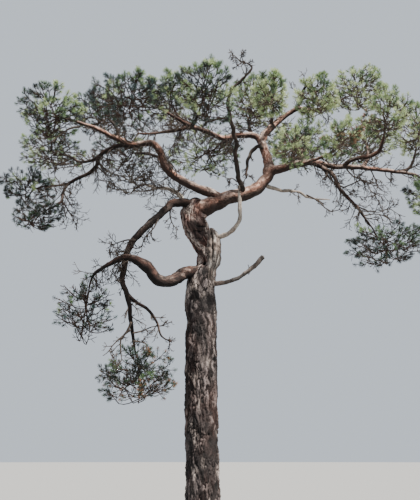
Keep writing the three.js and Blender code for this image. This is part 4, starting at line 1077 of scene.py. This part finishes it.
def moreSprays(mass, sprays, chance):
    # smaller sprays by the same rule, evenly through the mass and apart from all that stand there
    near = limbsNear(mass)
    length = growth["sprayShare"] * middleReach(mass) * finer["moreSize"]
    wanted = round(mass["sprays"] * finer["more"])
    base, breadth = finer["moreDepth"]
    taken = [spray["middle"] for spray in sprays]
    placed = []
    for attempt in range(finer["moreTries"]):
        if len(placed) == wanted:
            break
        spray = makeSpray(mass, unit(chance.normal(size=3)), base + breadth * chance.uniform() ** (1 / 3),
                          drawn("rise", chance.uniform()), chance.normal(size=3),
                          length * drawn("size", chance.uniform()), finer["moreWithin"])
        apart = length * finer["moreSpacing"] * (1 - growth["spacingLoss"] * attempt / finer["moreTries"])
        if np.linalg.norm(np.array(taken) - spray["middle"], axis=1).min() <= apart:
            continue
        rim = sprayRim(spray)
        if insideMass(mass, rim, finer["moreReach"]).all() and clearOf(near, rim):
            placed.append(spray)
            taken.append(spray["middle"])
    return placed


def linkTwigs(boughs, sprays, chance):
    # a twig runs to each small spray from the nearest point of the boughs
    share = np.linspace(finer["linkFrom"], 1, finer["linkSpots"])
    spots = twigPoint(boughs, np.broadcast_to(share, (len(boughs["start"]), len(share)))).reshape(-1, 3)
    roots = np.array([spray["root"] for spray in sprays])
    behind = roots - np.array([spray["along"] * spray["length"] * 0.5 for spray in sprays])
    nearest = np.linalg.norm(behind[:, None] - spots[None], axis=2).argmin(axis=1)
    return makeTwigs(spots[nearest], roots, *finer["linkRadius"], chance)


def twigMesh(twigs, rings, sides):
    # a slim closed tube round each twig's line
    share = np.broadcast_to(np.linspace(0, 1, rings), (len(twigs["start"]), rings))
    middle = twigPoint(twigs, share)
    side, other = sideways(unit(twigs["end"] - twigs["start"]))
    turns = circle(sides)
    rim = side[:, None] * np.cos(turns)[:, None] + other[:, None] * np.sin(turns)[:, None]
    radius = twigs["thick"][:, None] + (twigs["thin"] - twigs["thick"])[:, None] * share
    points = middle[:, :, None] + rim[:, None] * radius[:, :, None, None]
    tip = middle[:, -1] + tipHeading(twigs) * twigs["thin"][:, None]
    points = np.concatenate([points.reshape(len(points), -1, 3), middle[:, :1], tip[:, None]], axis=1)
    faceSets = [repeated(faces, len(points), rings * sides + 2) for faces in ringFaces(rings, sides)]
    return points.reshape(-1, 3), faceSets


def twoTwigMeshes(thick, grid, fine):
    # thick and fine twigs in one mesh
    points, faceSets = twigMesh(thick, *twigGrids[grid])
    finePoints, fineFaces = twigMesh(fine, *twigGrids["fine"])
    return np.vstack([points, finePoints]), faceSets + [faces + len(points) for faces in fineFaces]


# Angles in degrees from the shoot's way, sizes in metres, and the share of a brush behind which its
# needles take a darker green, painted shade inside the tuft
needle = dict(
    count=34, length=0.043, vary=0.15, width=0.0054, brush=0.030, leanTip=6, leanBack=104, leanVary=7,
    turn=137.5, roll=0.3, tipShare=0.5, shadeFrom=0.55,
)


def needleMesh(tips, ways, chance, look):
    # needles leave the last stretch of a shoot in turn round it, steep at its tip and flatter
    # behind. Each is a closed sliver of four faces: an edge across its root and a short one at its tip
    shoots, count = len(tips), look["count"]
    back = (np.arange(count) + chance.uniform(0, 1, (shoots, count))) / count
    lean = look["leanTip"] + (look["leanBack"] - look["leanTip"]) * back
    lean = np.radians(lean + chance.normal(0, look["leanVary"], back.shape))
    turn = np.arange(count) * math.radians(look["turn"]) + chance.uniform(0, 2 * math.pi, (shoots, 1))
    side, other = sideways(ways)
    out = side[:, None] * np.cos(turn)[..., None] + other[:, None] * np.sin(turn)[..., None]
    way = ways[:, None] * np.cos(lean)[..., None] + out * np.sin(lean)[..., None]
    base = tips[:, None] - ways[:, None] * (look["brush"] * back)[..., None]
    length = look["length"] * (1 + look["vary"] * chance.uniform(-1, 1, back.shape))
    tip = base + way * length[..., None]
    flat = unit(np.cross(way, out + ways[:, None] * look["roll"])) * look["width"] / 2
    thick = np.cross(way, flat) * look["tipShare"]
    points = np.stack([base + flat, base - flat, tip + thick, tip - thick], axis=2).reshape(-1, 3)
    sliver = np.array(((0, 2, 1), (0, 1, 3), (1, 2, 3), (2, 0, 3)))
    return points, [repeated(sliver, shoots * count, 4)], back > look["shadeFrom"]


# Greens are dealt out by spray. A mixture lists how often each comes, and the second table names the
# darker green of the needles behind, painted shade inside each tuft
# pale and sunny are painted sunlight on the needles, blue and dusk painted shade
needleColours = dict(
    pale=(196, 209, 164), sunny=(178, 193, 145), fresh=(145, 166, 116), leaf=(101, 126, 86),
    deep=(58, 80, 58), blue=(58, 80, 78), dusk=(26, 37, 33), rust=(136, 100, 74),
)
shadedGreen = dict(pale="sunny", sunny="fresh", fresh="leaf", leaf="deep", deep="dusk", blue="dusk",
              dusk="dusk", rust="deep")
# bright, olive and brownish deal out painted sunlight; blue and shade painted shade, for masses in shade
mixtures = dict(
    bright=dict(pale=6, sunny=5, fresh=4, leaf=1), olive=dict(pale=2, sunny=4, fresh=5, leaf=4, deep=1),
    mixed=dict(sunny=4, fresh=4, leaf=4, deep=3, dusk=3), rusty=dict(leaf=2, deep=5, dusk=4, rust=4),
    brownish=dict(pale=2, sunny=5, fresh=4, leaf=3, rust=2),
    blue=dict(sunny=1, fresh=1, leaf=2, blue=5, deep=3, dusk=4),
    shade=dict(fresh=1, leaf=2, deep=5, blue=2, dusk=5),
)
litMixtures = ("bright", "olive", "brownish")
# how often a shoot bears a tuft, and the masses where that is rarer or more frequent
leafing = dict(least=0.10, outer=0.62, upper=0.25, share=dict(
    needles_back_left=0.7, needles_low_outer=0.35, needles_left_under=0.85, needles_left_lowest=0.62,
    needles_right_drooping=0.8, needles_left_low=0.8, needles_front_low=0.8, needles_right_middle=0.8,
    needles_right_upper=0.85, needles_front_right=0.9, needles_front_middle=1.15, needles_top_left=1.1))
needleSheen = (0.45, 0.45)  # roughness and specular
twigSheen = (0.9, 0.2)
needleFinishes = [plainFinish("needles_" + name, tone(*colour), *needleSheen)
                  for name, colour in needleColours.items()]
# two copies of the twig bark: the darker one is painted shade and the lit one painted sunlight
shadedTwigFinish, litTwigFinish, deadTwigFinish, paleTwigFinish = (
    plainFinish(name, tone(*colour), *twigSheen) for name, colour in dict(
        shaded_twig_bark=(56, 45, 40), lit_twig_bark=(84, 73, 66), dead_twig=(70, 62, 57),
        pale_twig=(120, 112, 104)).items())


def leafyShoots(mass, twigs, chance):
    # shoots near the outside and the top of a mass bear tufts more often than those inside it
    offset = (twigs["end"] - mass["centre"]) / mass["reach"]
    outer = np.linalg.norm(offset, axis=1)
    likely = leafing["least"] + leafing["outer"] * outer + leafing["upper"] * offset[:, 2]
    return chance.uniform(0, 1, len(outer)) < likely * leafing["share"].get(mass["name"], 1.0)


def dealt(mixture, count, chance):
    # one colour number for each spray, by the mixture's weights
    names = list(needleColours)
    weights = np.array([mixtures[mixture].get(name, 0) for name in names], float)
    return chance.choice(len(names), size=count, p=weights / weights.sum())


def massBoughs(limb, sprays, stemEnd, start, top, chance):
    # the stem in short lengths, then the twigs that branch from its end to the sprays
    pieces = growth["stemPieces"]
    course = limb["course"]
    tip = float(limbRadius(limb, 1.0))
    first = min(tip * growth["stemToTwig"], twigRadius(len(sprays)))
    coarse = []
    branch(stemEnd, first, sprays, coarse)
    starts, ends, thick, thin = (np.array(values) for values in zip(*coarse))
    line = course.at(np.linspace(start - growth["stemOverlap"] / course.length, top, pieces + 1))
    radii = np.linspace(tip, first, pieces + 1)
    boughs = makeTwigs(
        np.vstack([line[:-1], starts]), np.vstack([line[1:], ends]), np.concatenate([radii[:-1], thick]),
        np.concatenate([radii[1:], thin]), chance, sag=finer["boughSag"])
    boughs["sag"][:pieces] = 0
    boughs["wander"][:pieces] = 0
    return boughs


def twigFinishes(mass):
    # the first is for the boughs, the last for the finer twigs
    if mass["name"] == "dead_twigs_left":
        return [paleTwigFinish, deadTwigFinish]
    if mass["mixture"] == "bare":
        return [deadTwigFinish]
    # lit masses take the lighter twig bark, painted sunlight, the others the darker, painted shade
    return [litTwigFinish] if mass["mixture"] in litMixtures else [shadedTwigFinish]


def growTufts(mass, fine, owner, count, chance):
    # tufts on the leafy shoots, each in its spray's green, with painted shade, a darker green, behind
    leafy = leafyShoots(mass, fine, chance)
    fine, owner = chosen(fine, leafy), owner[leafy]
    points, faceSets, behind = needleMesh(fine["end"], tipHeading(fine), chance, needle)
    names = list(needleColours)
    shadePartner = np.array([names.index(shadedGreen[name]) for name in names])
    picks = dealt(mass["mixture"], count, chance)[owner]
    picks = np.where(behind, shadePartner[picks][:, None], picks[:, None])
    addPiece("tufts_" + mass["name"], points, faceSets, [mass["name"]], needleFinishes,
             picks=np.repeat(picks.ravel(), 4), smooth=False)
    return len(owner)


def growMass(limb):
    # the source's stem, sprays and twigs, then finer twigs, then needles
    mass, course = limb["mass"], limb["course"]
    bare = mass["mixture"] == "bare"
    times, plus = growth["finerSeed"]
    chance = np.random.default_rng(mass["seed"] * times + plus)
    start = limb["end"] + growth["seatGap"] / course.length
    end = start + (1 - start) * growth["stemShare"]
    top = start + (end - start) * growth["stemTop"]
    stemEnd = course.at(top)
    sprays = placeSprays(mass, stemEnd)
    boughs = massBoughs(limb, sprays, stemEnd, start, top, chance)
    fine, owner = fineTwigs(mass, sprays, *finer["shoots"], chance)
    small = [] if mass["name"] == "dead_twigs_top" else moreSprays(mass, sprays, chance)
    if small:
        boughs = joined([boughs, linkTwigs(boughs, small, chance)])
        smallFine, smallOwner = fineTwigs(mass, small, *finer["moreShoots"], chance)
        fine = joined([fine, smallFine])
        owner = np.concatenate([owner, smallOwner + len(sprays)])
    points, faceSets = twoTwigMeshes(boughs, "bough", fine)
    finishes = twigFinishes(mass)
    picks = np.concatenate([np.full(len(faces), group) for faces, group in zip(faceSets, (0, 0, 1, 1))])
    addPiece("twigs_" + mass["name"], points, faceSets, [mass["name"]], finishes,
             picks=np.minimum(picks, len(finishes) - 1))
    count = len(sprays) + len(small)
    return count, 0 if bare else growTufts(mass, fine, owner, count, chance)


sprayTotal = tuftTotal = 0
for limb in limbs.values():
    if limb["mass"]:
        sprayCount, tuftCount = growMass(limb)
        sprayTotal += sprayCount
        tuftTotal += tuftCount
print(sprayTotal, "sprays and", tuftTotal, "tufts grown")

# Fine shoots along the bare stretches of limbs: how many, how long, and between which shares
bareShoots = dict(
    left_limb=(22, 0.36, 0.3, 0.98), left_low_limb=(40, 0.4, 0.15, 0.98),
    left_low_bough=(8, 0.34, 0.1, 1), left_under_bough=(18, 0.36, 0.1, 1),
    left_top_bough=(22, 0.4, 0.1, 1), back_left_bough=(26, 0.44, 0.2, 1),
    right_limb=(40, 0.36, 0.42, 0.98), rising_limb=(26, 0.36, 0.3, 0.98),
    crown_left_limb=(40, 0.42, 0.15, 0.98), crown_low_bough=(34, 0.42, 0.1, 1),
    top_left_bough=(12, 0.36, 0.2, 1), front_middle_bough=(10, 0.36, 0.2, 1),
    top_middle_bough=(16, 0.4, 0.2, 1), centre_back_bough=(14, 0.36, 0.2, 1),
    top_right_bough=(10, 0.3, 0.2, 1), front_right_bough=(8, 0.3, 0.2, 1),
    right_upper_bough=(12, 0.3, 0.3, 1), right_middle_bough=(8, 0.3, 0.3, 1),
    right_outer_bough=(8, 0.3, 0.3, 1), back_right_bough=(12, 0.36, 0.2, 1),
    right_back_bough=(12, 0.36, 0.2, 1), arching_limb=(16, 0.3, 0.2, 1),
    hanging_limb=(14, 0.3, 0.1, 0.98), hanging_side_branch=(8, 0.2, 0.3, 1),
    sagging_limb=(22, 0.34, 0.62, 1), twiggy_limb=(26, 0.38, 0.2, 1), dead_top=(9, 0.22, 0.5, 1),
    hooked_branch=(10, 0.18, 0.3, 1), grey_branch=(5, 0.12, 0.8, 1),
    right_drooping_limb=(24, 0.34, 0.2, 0.98), broken_branch=(2, 0.1, 0.4, 0.8),
    pale_branch=(6, 0.24, 0.3, 1),
)

# Bare twigs that the photo shows one by one: radius at the foot and at the tip, how many shoots stand
# on it and how long they are, and its way
looseTwigs = dict(
    drop_twig=(0.02, 0.006, 5, 0.22, (
        (-1.04, -0.42, 3.47), (-1.09, -0.38, 3.36), (-1.18, -0.34, 3.25), (-1.2, -0.32, 3.2),
        (-1.17, -0.3, 2.94))),
    drop_side_twig=(0.014, 0.005, 4, 0.2, (
        (-1.05, -0.36, 3.37), (-1.18, -0.34, 3.27), (-1.3, -0.34, 3.15), (-1.36, -0.36, 3.05),
        (-1.43, -0.38, 2.99))),
    low_side_twig=(0.014, 0.006, 4, 0.18, (
        (-1.02, -0.2, 3.23), (-0.95, -0.15, 3.23), (-0.85, -0.1, 3.21), (-0.84, -0.1, 3.12),
        (-0.83, -0.1, 3.01))),
    reach_twig=(0.014, 0.005, 4, 0.22, (
        (-1.03, -0.25, 3.34), (-0.9, -0.2, 3.38), (-0.76, -0.12, 3.46), (-0.59, -0.08, 3.48))),
    arch_twig=(0.016, 0.004, 8, 0.24, (
        (-1, -0.58, 4.67), (-1.11, -0.62, 4.66), (-1.23, -0.66, 4.61), (-1.34, -0.7, 4.54),
        (-1.4, -0.72, 4.49))),
    arch_inner_twig=(0.014, 0.004, 6, 0.2, (
        (-0.69, -0.4, 5.07), (-0.75, -0.44, 4.91), (-0.82, -0.46, 4.82), (-0.89, -0.5, 4.7),
        (-0.92, -0.52, 4.5))),
    arch_low_twig=(0.014, 0.004, 6, 0.2, (
        (-1.13, -0.5, 4.45), (-1.22, -0.56, 4.34), (-1.31, -0.6, 4.23), (-1.33, -0.62, 4.03))),
    hooked_fork=(0.013, 0.004, 5, 0.14, (
        (0.53, -0.42, 6.12), (0.46, -0.42, 6.21), (0.42, -0.42, 6.3), (0.41, -0.42, 6.42))),
    pale_fork=(0.014, 0.005, 7, 0.22, (
        (1.76, 0.66, 5.92), (1.97, 0.7, 5.82), (2.15, 0.72, 5.64), (2.3, 0.72, 5.65), (2.4, 0.72, 5.79),
        (2.42, 0.7, 6.03))),
    droop_hook=(0.013, 0.004, 8, 0.24, (
        (2.16, -0.42, 5.58), (2.31, -0.4, 5.65), (2.47, -0.4, 5.72), (2.55, -0.42, 5.64),
        (2.58, -0.45, 5.46), (2.58, -0.46, 5.28))),
    droop_arc=(0.012, 0.003, 8, 0.24, (
        (2.34, -0.5, 5.24), (2.5, -0.48, 5.17), (2.69, -0.46, 5.16), (2.85, -0.44, 5.24),
        (2.98, -0.42, 5.26))),
    droop_low_arc=(0.012, 0.003, 8, 0.24, (
        (2.41, -0.5, 5.08), (2.63, -0.46, 5.13), (2.78, -0.44, 5.09), (2.88, -0.42, 4.97),
        (2.84, -0.4, 4.8))),
    under_twig=(0.014, 0.004, 9, 0.26, (
        (1.87, -0.2, 6.06), (2, -0.1, 5.93), (2.15, 0, 5.83), (2.33, 0.1, 5.8), (2.42, 0.15, 5.65))),
    under_outer_twig=(0.014, 0.004, 9, 0.26, (
        (2.29, -0.16, 6.04), (2.39, -0.12, 5.92), (2.55, -0.1, 5.86), (2.71, -0.06, 5.8), (2.81, 0, 5.65))),
    under_far_twig=(0.012, 0.004, 7, 0.24, (
        (2.71, -0.04, 6.08), (2.77, 0, 5.97), (2.82, 0.04, 5.78), (2.76, 0.08, 5.58))),
    left_fork_twig=(0.016, 0.005, 6, 0.2, (
        (-0.64, -0.46, 6.12), (-0.57, -0.44, 6.03), (-0.5, -0.42, 5.98), (-0.43, -0.38, 5.88),
        (-0.42, -0.32, 5.82))),
    left_low_twig=(0.014, 0.004, 7, 0.26, (
        (-1.7, -0.3, 6.01), (-1.61, -0.3, 5.92), (-1.51, -0.32, 5.81), (-1.42, -0.34, 5.73))),
    left_low_fork=(0.016, 0.005, 8, 0.26, (
        (-2.2, -0.38, 5.39), (-2.11, -0.4, 5.27), (-2.02, -0.42, 5.13), (-1.88, -0.44, 5.04))),
    left_reach_twig=(0.014, 0.004, 9, 0.24, (
        (-2.2, -0.05, 6.16), (-2.43, 0, 6.19), (-2.64, 0.04, 6.28), (-2.84, 0.08, 6.35),
        (-3.02, 0.1, 6.47))),
    left_under_fork=(0.013, 0.004, 7, 0.22, (
        (-1.92, -0.1, 6.18), (-2.11, -0.06, 6.12), (-2.32, -0.02, 6.11), (-2.52, 0.02, 6.11))),
    left_tip_twig=(0.018, 0.005, 10, 0.24, (
        (-1.93, -0.62, 6.53), (-2.06, -0.66, 6.49), (-2.22, -0.7, 6.34), (-2.35, -0.74, 6.18),
        (-2.51, -0.78, 6.08))),
    trunk_top_twig=(0.016, 0.004, 6, 0.2, (
        (-0.52, -0.14, 5.36), (-0.53, -0.12, 5.23), (-0.47, -0.1, 5.07), (-0.4, -0.08, 5.01))),
    crotch_twig=(0.013, 0.004, 6, 0.14, ((0.54, -0.08, 5.83), (0.45, -0.14, 5.87), (0.37, -0.18, 5.82))),
)

# Shoots on bare wood: sag, the foot's radius on limbs and on loose twigs, the tip's share of it, and
# how the finer shoots stand on them. Lean is how far a shoot turns along its limb
shootRule = dict(
    sag=0.05, limbFoot=0.0085, twigFoot=0.0075, tipShare=0.45, limbLean=0.6, twigLean=0.7, hang=-0.1,
    limbLength=(0.45, 1.0), twigLength=(0.5, 1.0), twigFrom=0.2, twigPieces=8, limbSeed=101, twigSeed=77,
    side=dict(copies=4, shares=(0.2, 0.95), angles=(28, 62), lengths=(0.25, 0.6), radii=(0.0056, 0.0034)),
    tips=dict(copies=2, shares=(0.3, 0.95), angles=(30, 65), lengths=(0.12, 0.3), radii=(0.0042, 0.0028)),
)


def scatteredShoots(parents, lengths, rule, chance):
    # some copies on each parent, at random shares, angles and lengths
    which = np.repeat(np.arange(len(lengths)), rule["copies"])
    count = len(which)
    lengths = lengths[which]
    shares = chance.uniform(*rule["shares"], count)
    plane = chance.normal(size=(count, 3))
    angles = np.radians(chance.uniform(*rule["angles"], count))
    sizes = lengths * chance.uniform(*rule["lengths"], count)
    return sideShoots(chosen(parents, which), shares, plane, angles, sizes, rule["radii"], chance), lengths


def crookedShoots(start, way, lengths, thick, chance):
    # a crooked main shoot with side shoots, and finer ones on those
    main = makeTwigs(start, start + way * lengths[:, None], thick, thick * shootRule["tipShare"], chance,
                     sag=shootRule["sag"])
    side, lengths = scatteredShoots(main, lengths, shootRule["side"], chance)
    tips, _ = scatteredShoots(side, lengths, shootRule["tips"], chance)
    return main, joined([side, tips])


def offWay(along, lean, chance):
    # square to the run by a random turn, then leaned along it
    return unit(np.cross(along, chance.normal(size=along.shape))) + along * lean


def limbShoots(name, look):
    # shoots leave a limb across its run and hang a little
    count, length, low, high = look
    limb = limbs[name]
    chance = np.random.default_rng(len(name) * shootRule["limbSeed"] + count)
    shares = chance.uniform(low, high, count) * limb["end"]
    way = offWay(limb["course"].heading(shares), shootRule["limbLean"], chance)
    way = unit(way + np.array((0, 0, shootRule["hang"])))
    lengths = length * chance.uniform(*shootRule["limbLength"], count)
    return crookedShoots(limb["course"].at(shares), way, lengths, shootRule["limbFoot"], chance)


def twigShoots(name, look):
    # the twig itself in short lengths along its line, and shoots on it
    thick, thin, count, length, path = look
    chance = np.random.default_rng(len(name) * shootRule["twigSeed"] + count)
    course = Course(path)
    marks = np.linspace(0, 1, shootRule["twigPieces"] + 1)
    points = course.at(marks)
    radii = spread((thick, thin), marks)
    stem = makeTwigs(points[:-1], points[1:], radii[:-1], radii[1:], chance, sag=0)
    stem["wander"][:] = 0
    shares = chance.uniform(shootRule["twigFrom"], 1.0, count)
    way = unit(offWay(course.heading(shares), shootRule["twigLean"], chance))
    lengths = length * chance.uniform(*shootRule["twigLength"], count)
    main, rest = crookedShoots(course.at(shares), way, lengths, shootRule["twigFoot"], chance)
    return joined([stem, main]), rest


def growShoots():
    # all bare shoots as one piece
    grown = [limbShoots(name, look) for name, look in bareShoots.items()]
    grown += [twigShoots(name, look) for name, look in looseTwigs.items()]
    mains, rest = (joined(group) for group in zip(*grown))
    points, faceSets = twoTwigMeshes(mains, "stem", rest)
    addPiece("bare_shoots", points, faceSets, [], [deadTwigFinish])
    return len(mains["start"]) + len(rest["start"])


print(growShoots(), "bare shoots grown")
